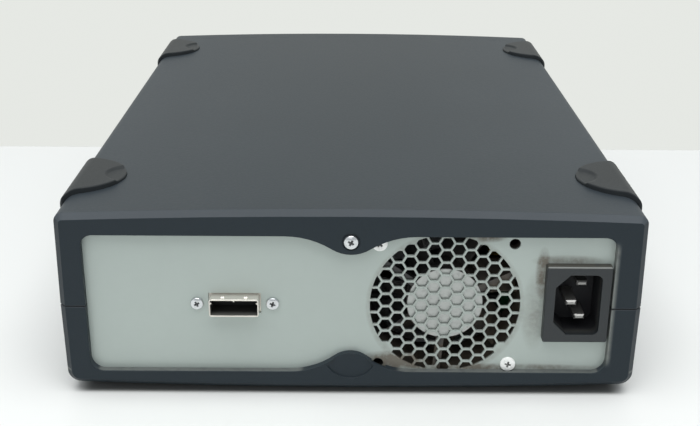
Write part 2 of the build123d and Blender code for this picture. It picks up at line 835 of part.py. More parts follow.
with BuildPart() as port_cage:
    with BuildSketch(across(port_face)):
        with Locations((port_x, port_z)):
            RectangleRounded(port_width, port_tall, cage_corner)
    extrude(amount=port_proud + port_depth)
    with BuildSketch(across(plate_front)):
        with Locations((port_x, port_z)):
            Rectangle(port_screw_pitch + 2 * ear_width_over, port_tall + 2 * ear_tall_over)
    extrude(amount=ear_thick)
    with BuildSketch(across(port_face)):
        with Locations((port_x, port_z)):
            hollow_width, hollow_tall = port_width - 2 * port_skin, port_tall - 2 * port_skin
            RectangleRounded(hollow_width, hollow_tall, cage_corner - port_skin)
    extrude(amount=port_proud + port_depth, mode=Mode.SUBTRACT)
    with BuildSketch(level(port_z)):
        with Locations((port_x, port_face - latch_length)):
            with GridLocations(2 * latch_half_pitch, 0, 2, 1):
                Rectangle(latch_width, latch_length)
    extrude(amount=port_tall, mode=Mode.SUBTRACT)
    with BuildSketch(across(plate_front)):
        with Locations(*port_screw_spots):
            Circle(screw_shank / 2 + screw_play)
    extrude(amount=ear_thick, mode=Mode.SUBTRACT)
keep(port_cage, "port_cage")

with BuildPart() as port_receptacle:
    with BuildSketch(across(port_face - receptacle_setback)):
        with Locations((port_x, port_z)):
            RectangleRounded(block_width, block_tall, receptacle_corner)
            mouth_width, mouth_tall = block_width - 2 * receptacle_wall_x, block_tall - 2 * receptacle_wall_z
            Rectangle(mouth_width, mouth_tall, mode=Mode.SUBTRACT)
    extrude(amount=receptacle_mouth)
    with BuildSketch(across(port_face - receptacle_setback - receptacle_mouth)):
        with Locations((port_x, port_z)):
            RectangleRounded(block_width, block_tall, receptacle_corner)
    extrude(amount=port_proud + port_depth - receptacle_setback - receptacle_mouth)
    with BuildSketch(across(port_face - receptacle_setback - receptacle_mouth)):
        with Locations((port_x, port_z)):
            Rectangle(block_width - 2 * contact_inset, contact_thick)
    extrude(amount=-contact_length)
keep(port_receptacle, "port_receptacle")

# Front bezel of the case
bezel_wall = 4.4
bezel_lip = 6.0
bezel_front = 3.0
strip_x = (-case_width / 2 + bezel_wall + drive_left - bezel_overlap) / 2
power_height = 54.0
light_height = 43.0
power_diameter = 11.0
light_diameter = 2.6
vent_count = 6
vent_width = 32.0
vent_slot = 2.2
vent_pitch = 4.2
vent_low_height = 12.0
opening_width = drive_width + 2 * bezel_overlap + 2 * clearance
bezel_over_height = 0.7     # drive bezel taller than the drive
opening_tall = drive_height + bezel_over_height + 2 * clearance
opening_z = drive_z + drive_height / 2
post_half_pitch = 9.0
post_height = 61.0
board_post = 2.0
post_spots = [(strip_x + side * post_half_pitch, case_bottom + post_height) for side in (-1, 1)]
board_setback = 14.0
board_y = front + board_setback

with BuildPart() as front_bezel:
    with BuildSketch(across(shell_front)):
        half_outline(0, True)
        half_outline(0, False)
    extrude(amount=bezel_depth)
    chamfer(front_bezel.edges().group_by(Axis.Y)[0], edge_bevel)
    with BuildSketch(across(shell_front + bezel_lip)):
        half_outline(wall + clearance, True)
        half_outline(wall + clearance, False)
    extrude(amount=bezel_lip)
    with BuildSketch(across(shell_front + bezel_lip)):
        half_outline(bezel_wall, True)
        half_outline(bezel_wall, False)
    extrude(amount=bezel_lip + bezel_depth - bezel_front, mode=Mode.SUBTRACT)
    with BuildSketch(across(front + bezel_front)):
        with Locations((drive_x, opening_z)):
            Rectangle(opening_width, opening_tall)
        with Locations((strip_x, case_bottom + power_height)):
            Circle(power_diameter / 2)
        with Locations((strip_x, case_bottom + light_height)):
            Circle(light_diameter / 2)
        first = case_bottom + vent_low_height
        with Locations(*[(strip_x, first + i * vent_pitch) for i in range(vent_count)]):
            SlotOverall(vent_width, vent_slot)
    extrude(amount=bezel_front, mode=Mode.SUBTRACT)
    with BuildSketch(across(board_y)):
        with Locations(*post_spots):
            Circle(board_post)
    extrude(amount=board_y - front - bezel_front)
keep(front_bezel, "front_bezel")

# Power button, its light and the board behind them
power_travel = 1.2
button_setback = 0.4
button_flange = 1.0
button_flange_thick = 1.2
button_stem = 2.0
button_stem_end = 8.0       # behind the case front
button_edge = 0.6
flange_front = front + bezel_front + clearance
with BuildPart() as power_button:
    with BuildSketch(across(front + button_stem_end)):
        with Locations((strip_x, case_bottom + power_height)):
            Circle(button_stem)
    extrude(amount=front + button_stem_end - flange_front)
    with BuildSketch(across(flange_front + button_flange_thick)):
        with Locations((strip_x, case_bottom + power_height)):
            Circle(power_diameter / 2 + button_flange)
    extrude(amount=button_flange_thick)
    with BuildSketch(across(flange_front)):
        with Locations((strip_x, case_bottom + power_height)):
            Circle(power_diameter / 2 - clearance)
    extrude(amount=flange_front - front - button_setback)
    chamfer(power_button.edges().group_by(Axis.Y)[0], button_edge)
keep(power_button, "power_button")

light_flange = 0.8
light_flange_thick = 1.2
light_gap = 0.2             # light pipe to the lamp on the board
light_play = 0.1
lamp_width = 3.0
lamp_tall = 2.0
lamp_high = 1.0
with BuildPart() as power_light:
    pipe_end = board_y - lamp_high - light_gap
    with BuildSketch(across(pipe_end)):
        with Locations((strip_x, case_bottom + light_height)):
            Circle(light_diameter / 2 - light_play)
    extrude(amount=pipe_end - front - button_setback)
    with BuildSketch(across(front + bezel_front + light_flange_thick)):
        with Locations((strip_x, case_bottom + light_height)):
            Circle(light_diameter / 2 + light_flange)
    extrude(amount=light_flange_thick)
keep(power_light, "power_light")

circuit_board = 1.6
switch_board_width = 26.0
switch_board_tall = 24.0
switch_board_height = 52.0
switch_width = 6.0
switch_body = 3.6
plunger_radius = 1.6
with BuildPart() as switch_board:
    with BuildSketch(across(board_y + circuit_board)):
        with Locations((strip_x, case_bottom + switch_board_height)):
            Rectangle(switch_board_width, switch_board_tall)
    extrude(amount=circuit_board)
    with BuildSketch(across(board_y)):
        with Locations((strip_x, case_bottom + power_height)):
            Rectangle(switch_width, switch_width)
    extrude(amount=switch_body)
    with BuildSketch(across(board_y - switch_body)):
        with Locations((strip_x, case_bottom + power_height)):
            Circle(plunger_radius)
    extrude(amount=board_y - switch_body - front - button_stem_end - power_travel - clearance)
    with BuildSketch(across(board_y)):
        with Locations((strip_x, case_bottom + light_height)):
            Rectangle(lamp_width, lamp_tall)
    extrude(amount=lamp_high)
keep(switch_board, "switch_board")

# Drive base: a cast tray with the circuit board under its floor
post_radius = 3.2
post_inset = 6.0
cover_screw_length = 5.0
plug_width = 42.0
plug_high = 8.6             # top of the rear plug above the underside of the drive
plug_deep = 10.0
board_low = 0.8
board_thick = 1.6
board_gap = 0.5             # board edge to the cast walls
board_post_radius = 2.5
board_post_inset_x = 15.0   # from the side of the drive
board_post_inset_y = 23.5   # from the ends of the drive
sill_high = 12.9
doorway_over = 2.5          # doorway in the front wall, beyond each end of the slot
cast_corner = 2.5
drive_middle = (drive_front + drive_rear) / 2
post_spots_drive = [
    (drive_x + i * (drive_width / 2 - post_inset), drive_middle + j * (drive_depth / 2 - post_inset))
    for i in (-1, 1)
    for j in (-1, 1)
]
board_posts = [
    (
        drive_x + i * (drive_width / 2 - board_post_inset_x),
        drive_middle + j * (drive_depth / 2 - board_post_inset_y),
    )
    for i in (-1, 1)
    for j in (-1, 1)
]

with BuildPart() as drive_base:
    with BuildSketch(level(drive_z)):
        with Locations((drive_x, drive_middle)):
            RectangleRounded(drive_width, drive_depth, cast_corner)
    extrude(amount=cover_low - drive_z)
    with BuildSketch(level(floor_top)):
        with Locations((drive_x, drive_middle)):
            Rectangle(drive_width - 2 * skin, drive_depth - 2 * skin)
    extrude(amount=cover_low - floor_top, mode=Mode.SUBTRACT)
    with BuildSketch(level(drive_z)):
        with Locations((drive_x, drive_middle)):
            Rectangle(drive_width - 2 * skin, drive_depth - 2 * skin)
    extrude(amount=floor_low, mode=Mode.SUBTRACT)
    with BuildSketch(level(floor_top)):
        with Locations(*post_spots_drive):
            Circle(post_radius)
    extrude(amount=cover_low - floor_top)
    with BuildSketch(level(cover_low)):
        with Locations(*post_spots_drive):
            Circle(screw_shank / 2 + screw_play)
    extrude(amount=-cover_screw_length - screw_run_out, mode=Mode.SUBTRACT)
    with BuildSketch(level(drive_z + board_low + board_thick)):
        with Locations(*board_posts):
            Circle(board_post_radius)
    extrude(amount=floor_low - board_low - board_thick)
    with BuildSketch(level(drive_z + sill_high)):
        with Locations((drive_x, drive_front)):
            Rectangle(slot_width + 2 * doorway_over, 2 * skin)
    extrude(amount=drive_height, mode=Mode.SUBTRACT)
    with BuildSketch(level(drive_z)):
        with Locations((port_x, drive_rear)):
            Rectangle(plug_width + 2 * clearance, 2 * (plug_deep + clearance))
    extrude(amount=plug_high + clearance, mode=Mode.SUBTRACT)
    with BuildSketch(beside(drive_left)):
        with Locations(*[(y, drive_z + side_screw_high) for y in side_screw_stations]):
            Circle(screw_shank / 2 + screw_play)
    extrude(amount=drive_width, mode=Mode.SUBTRACT)
keep(drive_base, "drive_base")

chip_high = 1.0
large_chip = 24.0
small_chip_width = 18.0
small_chip_deep = 12.0
large_chip_spots = [(drive_x - 20.0, drive_middle + 30.0), (drive_x + 20.0, drive_middle)]
small_chip_spots = [(drive_x - 25.0, drive_middle - 25.0), (drive_x + 15.0, drive_middle - 45.0)]
plug_shoulder = 1.0

with BuildPart() as drive_board:
    with BuildSketch(level(drive_z + board_low)):
        with Locations((drive_x, drive_middle)):
            Rectangle(drive_width - 2 * (skin + board_gap), drive_depth - 2 * (skin + board_gap))
        with Locations((port_x, drive_rear)):
            Rectangle(plug_width, 2 * plug_deep)
        with Locations((port_x, drive_rear + plug_deep)):
            Rectangle(plug_width + 2 * plug_shoulder, 2 * plug_deep, mode=Mode.SUBTRACT)
    extrude(amount=board_thick)
    with BuildSketch(level(drive_z + board_low + board_thick)):
        with Locations((port_x, drive_rear - plug_deep / 2)):
            Rectangle(plug_width - plug_shoulder, plug_deep)
    extrude(amount=plug_high - board_low - board_thick)
    with BuildSketch(level(drive_z + board_low + board_thick)):
        with Locations(*large_chip_spots):
            Rectangle(large_chip, large_chip)
        with Locations(*small_chip_spots):
            Rectangle(small_chip_width, small_chip_deep)
    extrude(amount=chip_high)
keep(drive_board, "drive_board")

stiffener_length = 110.0
stiffener_width = 5.0
stiffener_pitch = 44.0

with BuildPart() as drive_cover:
    with BuildSketch(level(cover_low)):
        with Locations((drive_x, drive_middle)):
            RectangleRounded(drive_width, drive_depth, cast_corner)
        with Locations(*post_spots_drive):
            Circle(screw_shank / 2 + screw_play, mode=Mode.SUBTRACT)
    extrude(amount=cover_thick)
    with BuildSketch(level(cover_low + cover_thick)):
        with Locations((drive_x, drive_middle)):
            with GridLocations(0, stiffener_pitch, 1, 4):
                SlotOverall(stiffener_length, stiffener_width)
    extrude(amount=-cover_thick / 2, mode=Mode.SUBTRACT)
keep(drive_cover, "drive_cover")

cover_screws = pan_screws(
    [upright(x, y, cover_low + cover_thick) for x, y in post_spots_drive], cover_screw_length
)
keep(cover_screws, "cover_screws")

# Drive bezel with the cartridge slot
bezel_skin = 1.2
hinge_height = 38.8         # door axis above the underside of the drive
hinge_setback = 4.7         # door axis behind the case front
pin_radius = 0.8
ear_gap = 0.4
ear_width = 3.0
door_half = slot_width / 2 + 1.0
ear_start = door_half + ear_gap
eject_offset = 60.0
eject_height = 7.0
eject_width = 12.0
eject_tall = 5.0
hinge_ear_height = 38.0
hinge_ear_tall = 5.0
bezel_edge = 0.6
mouth_edge = 0.8
light_count = 4
light_pitch = 7.0
first_light = 60.0          # from the middle of the drive
lens_width = 3.2
lens_tall = 1.8
light_spots = [
    (drive_x - first_light + i * light_pitch, drive_z + eject_height) for i in range(light_count)
]
bezel_z = drive_z + drive_height / 2
bezel_face = front + drive_bezel_setback
bezel_back = bezel_face + skin
hinge_y = front + hinge_setback
hinge_z = drive_z + hinge_height

with BuildPart() as drive_bezel:
    with BuildSketch(across(drive_front)):
        with Locations((drive_x, bezel_z)):
            bezel_tall = drive_height + bezel_over_height
            Rectangle(drive_width + 2 * bezel_overlap, bezel_tall)
    extrude(amount=drive_bezel_depth)
    chamfer(drive_bezel.faces().sort_by(Axis.Y)[0].edges(), bezel_edge)
    with BuildSketch(across(drive_front)):
        with Locations((drive_x, bezel_z)):
            Rectangle(drive_width - 2 * bezel_skin, bezel_tall - 2 * bezel_skin)
    extrude(amount=drive_bezel_depth - skin, mode=Mode.SUBTRACT)
    with BuildSketch(across(drive_front)):
        for side in (-1, 1):
            ear_x = drive_x + side * (ear_start + ear_width / 2)
            with Locations((ear_x, drive_z + hinge_ear_height)):
                Rectangle(ear_width, hinge_ear_tall)
    extrude(amount=drive_bezel_depth - skin)
    with BuildSketch(beside(drive_x - ear_start - ear_width)):
        with Locations((hinge_y, hinge_z)):
            Circle(pin_radius + running)
    extrude(amount=2 * (ear_start + ear_width), mode=Mode.SUBTRACT)
    with BuildSketch(across(bezel_back)):
        with Locations((drive_x, drive_z + (slot_low + slot_high) / 2)):
            Rectangle(slot_width, slot_high - slot_low)
        with Locations((drive_x + eject_offset, drive_z + eject_height)):
            Rectangle(eject_width + 2 * clearance, eject_tall + 2 * clearance)
        with Locations(*light_spots):
            Rectangle(lens_width, lens_tall)
    extrude(amount=skin, mode=Mode.SUBTRACT)
    slot_rim = lambda e: (
        e.length > eject_width + skin
        and abs(e.center().Z - bezel_z) < bezel_tall / 2 - skin
        and abs(e.center().X - drive_x) < door_half
    )
    chamfer(drive_bezel.faces().sort_by(Axis.Y)[0].edges().filter_by(slot_rim), mouth_edge)
keep(drive_bezel, "drive_bezel")

# Cartridge door on its pin, with the spring on its barrel
barrel = 1.5
door_plate = 1.6
door_low = 13.5
spring_gap = 6.0
spring_offset = 40.0
spring_x = drive_x - spring_offset

with BuildPart() as cartridge_door:
    with BuildSketch(across(hinge_y - barrel + door_plate)):
        with Locations((drive_x, (drive_z + door_low + hinge_z) / 2)):
            Rectangle(2 * door_half, hinge_z - drive_z - door_low)
    extrude(amount=door_plate)
    with BuildSketch(beside(drive_x - door_half)):
        with Locations((hinge_y, hinge_z)):
            Circle(barrel)
    extrude(amount=2 * door_half)
    with BuildSketch(beside(drive_x - door_half)):
        with Locations((hinge_y, hinge_z)):
            Circle(pin_radius + running)
    extrude(amount=2 * door_half, mode=Mode.SUBTRACT)
    with BuildSketch(across(hinge_y + barrel)):
        with Locations((spring_x, hinge_z)):
            Rectangle(spring_gap, 2 * barrel)
    extrude(amount=2 * barrel, mode=Mode.SUBTRACT)
keep(cartridge_door, "cartridge_door")

with BuildPart() as door_pin:
    with BuildSketch(beside(drive_x - ear_start - ear_width)):
        with Locations((hinge_y, hinge_z)):
            Circle(pin_radius)
    extrude(amount=2 * (ear_start + ear_width))
keep(door_pin, "door_pin")

spring_wire = 0.6
spring_turns = 11
with BuildPart() as door_spring:
    with BuildSketch(Plane.XZ.offset(-hinge_y)):
        spring_start = spring_x - spring_gap / 2 + ear_gap
        pitch_x = (spring_gap - 2 * ear_gap) / spring_turns
        coil = [
            (spring_start + (i + 0.5) * pitch_x, hinge_z + pin_radius + running + spring_wire / 2)
            for i in range(spring_turns)
        ]
        with Locations(*coil):
            RegularPolygon(spring_wire / 2, 6, rotation=30)
    revolve(axis=Axis((0, hinge_y, hinge_z), (1, 0, 0)))
keep(door_spring, "door_spring")

# Eject button, its switch and the status lights
eject_travel = 0.9
eject_setback = 0.3
eject_flange = 1.0
eject_edge = 0.5
stem_radius = 1.6
stem_end = 2.4              # behind the bezel front's inside
with BuildPart() as eject_button:
    with BuildSketch(across(bezel_back + clearance)):
        with Locations((drive_x + eject_offset, drive_z + eject_height)):
            Rectangle(eject_width, eject_tall)
    extrude(amount=skin + clearance - eject_setback)
    chamfer(eject_button.edges().group_by(Axis.Y)[0], eject_edge)
    with BuildSketch(across(bezel_back + clearance + eject_flange)):
        with Locations((drive_x + eject_offset, drive_z + eject_height)):
            Rectangle(eject_width + 2 * eject_flange, eject_tall + 2 * eject_flange)
    extrude(amount=eject_flange)
    with BuildSketch(across(bezel_back + stem_end)):
        with Locations((drive_x + eject_offset, drive_z + eject_height)):
            Circle(stem_radius)
    extrude(amount=stem_end - clearance)
keep(eject_button, "eject_button")

switch_thick = 1.2
switch_plunger = 1.3
with BuildPart() as eject_switch:
    with BuildSketch(across(drive_front)):
        with Locations((drive_x + eject_offset, drive_z + eject_height)):
            Rectangle(switch_width, switch_width)
    extrude(amount=switch_thick)
    with BuildSketch(across(drive_front - switch_thick)):
        with Locations((drive_x + eject_offset, drive_z + eject_height)):
            Circle(switch_plunger)
    extrude(amount=drive_front - switch_thick - bezel_back - stem_end - eject_travel - clearance)
keep(eject_switch, "eject_switch")

lens_setback = 0.2
lens_flange = 0.4
lens_flange_thick = 1.0
with BuildPart() as status_lights:
    with BuildSketch(across(bezel_back)):
        with Locations(*light_spots):
            Rectangle(lens_width - 2 * light_play, lens_tall - 2 * light_play)
    extrude(amount=skin - lens_setback)
    with BuildSketch(across(bezel_back + lens_flange_thick)):
        with Locations(*light_spots):
            Rectangle(lens_width + 2 * lens_flange, lens_tall + 2 * lens_flange)
    extrude(amount=lens_flange_thick)
keep(status_lights, "status_lights")

# Cradle that carries the cartridge down on to the drive hub
cradle_front = front + cradle_start
cradle_middle = cradle_front + cradle_length / 2
cradle_half = cradle_inner / 2 + cradle_sheet
cam_inner = cradle_half + cam_gap
cam_outer = cam_inner + cam_sheet
guide_inner = cam_outer + guide_gap
guide_sheet = 1.4
guide_outer = guide_inner + guide_sheet
hub_lead = 2.0              # drive hub ahead of the cradle's middle
hub_y = cradle_middle - hub_lead
hub_opening = 27.0
follower_high = 6.0         # above the cradle's floor
follower_z = drive_z + cradle_low + follower_high
follower_alongs = (22.0, 72.0)
follower_stations = [cradle_front + along for along in follower_alongs]
follower_play = 0.15
follower_end = 0.5          # side pins beyond the guide brackets
cradle_top = drive_z + cradle_high
grip_width = 6.0
thumb_width = 60.0
thumb_deep = 22.0
thumb_corner = 6.0

with BuildPart() as cartridge_cradle:
    with BuildSketch(across(cradle_front + cradle_length)):
        with Locations((drive_x, (drive_z + cradle_low + cradle_top) / 2)):
            Rectangle(2 * cradle_half, cradle_high - cradle_low)
            Rectangle(cradle_inner, cradle_high - cradle_low - 2 * cradle_sheet, mode=Mode.SUBTRACT)
        with Locations((drive_x, cradle_top)):
            Rectangle(cradle_inner - 2 * grip_width, 3 * cradle_sheet, mode=Mode.SUBTRACT)
    extrude(amount=cradle_length)
    with BuildSketch(level(drive_z + cradle_low)):
        with Locations((drive_x, hub_y)):
            Circle(hub_opening)
        with Locations((drive_x, cradle_front)):
            RectangleRounded(thumb_width, thumb_deep, thumb_corner)
    extrude(amount=cradle_sheet, mode=Mode.SUBTRACT)
    for side in (-1, 1):
        with BuildSketch(beside(drive_x + side * cradle_half)):
            with Locations(*[(y, follower_z) for y in follower_stations]):
                Circle(follower / 2)
        extrude(amount=side * (guide_outer - cradle_half + follower_end))
keep(cartridge_cradle, "cartridge_cradle")

# Cam plates: sloped slots lower the cradle as the plates slide to the rear
tooth_root = 1.25           # in modules
tooth_tip = 0.9
flank_angle = 20.0
teeth_ahead = 8
teeth_behind = 3
pinion_along = 112.0
rack_pitch_high = 3.6       # rack's pitch line above the drive's floor
pinion_y = cradle_front + pinion_along
rack_pitch_z = floor_top + rack_pitch_high
pinion_radius = rack_module * pinion_teeth / 2
pinion_z = rack_pitch_z + pinion_radius
cam_floor_gap = 0.1
cam_tall = 19.0
cam_low = floor_top + cam_floor_gap
cam_high = cam_low + cam_tall
cam_front = cradle_front + 3.0
cam_length = 82.0
cam_rear = cam_front + cam_length
arm_length = 12.0
arm_tall = 8.0
arm_drop = 3.0
bar_gap = 2.0               # cradle's rear edge to the cross bar
bar_thick = 2.0
bar_low_height = 28.5
bar_tall = 4.5
bar_y = cradle_front + cradle_length + bar_gap
bar_low = drive_z + bar_low_height
bar_high = bar_low + bar_tall
slope = degrees(atan2(cradle_travel, cam_travel))
rack_pitch = pi * rack_module
rack_root = rack_pitch_z - tooth_root * rack_module
rack_rear = pinion_y + (teeth_behind + 0.5) * rack_pitch


def rack_teeth():
    """Straight-sided teeth whose gaps lie under the pinion's axis at rest."""
    half_pitch_width = (rack_pitch / 2 - backlash) / 2
    low_half = half_pitch_width + tooth_root * rack_module * tan(radians(flank_angle))
    high_half = half_pitch_width - tooth_tip * rack_module * tan(radians(flank_angle))
    rise = (tooth_root + tooth_tip) * rack_module
    steps = range(-teeth_ahead, teeth_behind)
    with Locations(*[(pinion_y + (i + 0.5) * rack_pitch, rack_root) for i in steps]):
        Polygon((-low_half, 0), (low_half, 0), (high_half, rise), (-high_half, rise), align=None)


def follower_slots(stations, length, rotation):
    """Cut a slot for the cradle's side pins at each station."""
    with Locations(*stations):
        slot_wide = follower + 2 * follower_play
        SlotCenterToCenter(length, slot_wide, rotation=rotation, mode=Mode.SUBTRACT)


with BuildPart() as cam_plates:
    for side, inside in ((-1, -cam_outer), (1, cam_inner)):
        with BuildSketch(beside(drive_x + inside)):
            with Locations(((cam_front + cam_rear) / 2, (cam_low + cam_high) / 2)):
                Rectangle(cam_rear - cam_front, cam_high - cam_low)
            with BuildLine():
                Polyline(
                    (cam_rear - arm_length, cam_high - arm_tall),
                    (cam_rear - arm_length, cam_high),
                    (bar_y, bar_high),
                    (bar_y + bar_thick, bar_high),
                    (bar_y + bar_thick, bar_low - arm_drop),
                    (cam_rear, cam_high - arm_tall),
                    close=True,
                )
            make_face()
            slot_middle_z = follower_z - cradle_travel / 2
            slot_spots = [(y - cam_travel / 2, slot_middle_z) for y in follower_stations]
            follower_slots(slot_spots, hypot(cam_travel, cradle_travel), slope)
            if side < 0:
                with Locations(((cam_front + rack_rear) / 2, (cam_low + rack_root) / 2)):
                    Rectangle(rack_rear - cam_front, rack_root - cam_low)
                rack_teeth()
        extrude(amount=cam_sheet)
    with BuildSketch(level(bar_low)):
        with Locations((drive_x, bar_y + bar_thick / 2)):
            Rectangle(2 * cam_outer, bar_thick)
    extrude(amount=bar_high - bar_low)
keep(cam_plates, "cam_plates")

# Guide brackets hold the followers upright above the floor
guide_end = 10.0            # beyond the first and last side pins
guide_over = 5.0            # above the side pins
guide_foot = 8.0
guide_length = follower_stations[-1] - follower_stations[0] + 2 * guide_end
guide_middle = (follower_stations[0] + follower_stations[-1]) / 2
guide_tall = follower_z + guide_over - floor_top

with BuildPart() as guide_brackets:
    for side in (-1, 1):
        with BuildSketch(beside(drive_x + (guide_inner if side > 0 else -guide_outer))):
            with Locations((guide_middle, floor_top + guide_tall / 2)):
                Rectangle(guide_length, guide_tall)
            slot_spots = [(y, follower_z - cradle_travel / 2) for y in follower_stations]
            follower_slots(slot_spots, cradle_travel, 90)
        extrude(amount=guide_sheet)
        with BuildSketch(level(floor_top)):
            with Locations((drive_x + side * (guide_inner + guide_foot / 2), guide_middle)):
                Rectangle(guide_foot, guide_length)
        extrude(amount=guide_sheet)
keep(guide_brackets, "guide_brackets")

# Load gear: pinion and wheel in one, turned by the load motor
side_gap = 0.4              # gears past the cam plate's faces
wheel_gap = 1.8             # cam plate to the wheel
wheel_face = 2.6
pinion_face = wheel_gap + cam_sheet + side_gap + side_gap
wheel_x = drive_x - cam_outer - wheel_gap - side_gap
axle_radius = 1.5
axle_end = 0.4
motor_shaft = 1.0
shaft_in_motor = 3.5
mesh_angle = 60.0
mesh_gap = 0.1
wheel_radius = wheel_module * wheel_teeth / 2
motor_radius = wheel_module * motor_teeth / 2
centre_distance = wheel_radius + motor_radius + mesh_gap
motor_y = pinion_y + centre_distance * cos(radians(mesh_angle))
motor_z = pinion_z + centre_distance * sin(radians(mesh_angle))


def gear_outline(module, teeth, phase):
    """Root disc with straight-sided teeth, the first at the angle called phase."""
    pitch_radius = module * teeth / 2
    root, tip = pitch_radius - tooth_root * module, pitch_radius + tooth_tip * module
    half_pitch_width = (pi * module / 2 - backlash) / 2
    root_half = half_pitch_width + tooth_root * module * tan(radians(flank_angle))
    tip_half = half_pitch_width - tooth_tip * module * tan(radians(flank_angle))
    sunk = root - sqrt(root ** 2 - root_half ** 2)
    Circle(root)
    with PolarLocations(root, teeth, start_angle=phase):
        Polygon(
            (-sunk, -root_half), (tip - root, -tip_half), (tip - root, tip_half), (-sunk, root_half),
            align=None,
        )


def gear_plane(x, y, z):
    """Plane across an axle that runs along X, with extrusions to the right."""
    return Plane(origin=(x, y, z), x_dir=(0, 1, 0), z_dir=(1, 0, 0))


with BuildPart() as load_gear:
    with BuildSketch(gear_plane(wheel_x - wheel_face, pinion_y, pinion_z)):
        gear_outline(wheel_module, wheel_teeth, mesh_angle)
    extrude(amount=wheel_face)
    with BuildSketch(gear_plane(wheel_x, pinion_y, pinion_z)):
        gear_outline(rack_module, pinion_teeth, 0)
    extrude(amount=pinion_face)
    with BuildSketch(gear_plane(wheel_x - wheel_face, pinion_y, pinion_z)):
        Circle(axle_radius + running)
    extrude(amount=wheel_face + pinion_face, mode=Mode.SUBTRACT)
keep(load_gear, "load_gear")

stand_gap = 0.3
stand_thick = 1.4
stand_deep = 22.0
stand_over = 5.0            # above the motor's shaft
motor_can = 7.5
can_gap = 0.3
stand_x = wheel_x - wheel_face - stand_gap
stand_tall = motor_z + stand_over - floor_top
motor_face = stand_x - stand_thick

with BuildPart() as gear_stand:
    with BuildSketch(beside(motor_face)):
        with Locations(((pinion_y + motor_y) / 2, floor_top + stand_tall / 2)):
            Rectangle(stand_deep, stand_tall)
        with Locations((motor_y, motor_z)):
            Circle(motor_shaft + running, mode=Mode.SUBTRACT)
    extrude(amount=stand_thick)
    with BuildSketch(gear_plane(stand_x, pinion_y, pinion_z)):
        Circle(axle_radius)
    extrude(amount=stand_gap + wheel_face + pinion_face + axle_end)
keep(gear_stand, "gear_stand")

with BuildPart() as load_motor:
    with BuildSketch(gear_plane(motor_face, motor_y, motor_z)):
        Circle(motor_can)
    extrude(amount=drive_left + skin + can_gap - motor_face)
    with BuildSketch(gear_plane(motor_face, motor_y, motor_z)):
        Circle(motor_shaft + running)
    extrude(amount=-shaft_in_motor - can_gap, mode=Mode.SUBTRACT)
keep(load_motor, "load_motor")

with BuildPart() as motor_pinion:
    with BuildSketch(gear_plane(wheel_x - wheel_face, motor_y, motor_z)):
        gear_outline(wheel_module, motor_teeth, mesh_angle + 180 + 180 / motor_teeth)
    extrude(amount=wheel_face)
    with BuildSketch(gear_plane(wheel_x, motor_y, motor_z)):
        Circle(motor_shaft)
    extrude(amount=motor_face - shaft_in_motor - wheel_x)
keep(motor_pinion, "motor_pinion")

# Reel motors, supply chuck and take-up reel
reel_shaft = 2.5
lug_count = 3
lug_radius = 3.0
lug_start = 30.0
motor_edge = 0.4
supply_radius = 21.0
supply_high = 3.6
chuck_radius = 15.0
chuck_gap = 0.3
chuck_thick = 1.8
chuck_boss = 4.0
chuck_teeth = 24
chuck_tooth_length = 3.4
chuck_tooth_width = 1.5
chuck_tooth_high = 1.2
reel_offset = 26.0
reel_along = 167.0
reel_radius = 38.5
reel_hub = 22.0
reel_hub_wall = 3.0
reel_boss = 5.0
reel_spokes = 6
spoke_width = 2.0
window_length = 14.0
window_width = 7.0
tape_width = 12.65
tape_play = 0.6
reel_flange = 1.2
reel_height = 10.6
takeup_radius = 20.0
takeup_high = 4.4
reel_x = drive_x + reel_offset
reel_y = front + reel_along
reel_low = drive_z + reel_height
reel_tall = 2 * reel_flange + tape_width + tape_play
chuck_low = floor_top + supply_high + chuck_gap


def reel_motor(x, y, radius, high):
    """Flat motor screwed down on the floor, open in the middle for the shaft."""
    with BuildPart() as motor:
        with BuildSketch(level(floor_top)):
            with Locations((x, y)):
                Circle(radius)
                with PolarLocations(radius, lug_count, start_angle=lug_start):
                    Circle(lug_radius)
        extrude(amount=high)
        chamfer(motor.faces().sort_by(Axis.Z)[-1].edges(), motor_edge)
        with BuildSketch(level(floor_top)):
            with Locations((x, y)):
                Circle(reel_shaft + running)
        extrude(amount=high, mode=Mode.SUBTRACT)
    return motor


supply_motor = reel_motor(drive_x, hub_y, supply_radius, supply_high)
keep(supply_motor, "supply_motor")
takeup_motor = reel_motor(reel_x, reel_y, takeup_radius, takeup_high)
keep(takeup_motor, "takeup_motor")

with BuildPart() as supply_chuck:
    with BuildSketch(level(chuck_low)):
        with Locations((drive_x, hub_y)):
            Circle(chuck_radius)
    extrude(amount=chuck_thick)
    with BuildSketch(level(chuck_low + chuck_thick)):
        with Locations((drive_x, hub_y)):
            with PolarLocations(chuck_radius - chuck_tooth_length / 2 - chuck_gap, chuck_teeth):
                Rectangle(chuck_tooth_length, chuck_tooth_width)
            Circle(chuck_boss)
    extrude(amount=chuck_tooth_high)
    with BuildSketch(level(floor_top + chuck_gap)):
        with Locations((drive_x, hub_y)):
            Circle(reel_shaft)
    extrude(amount=supply_high)
keep(supply_chuck, "supply_chuck")

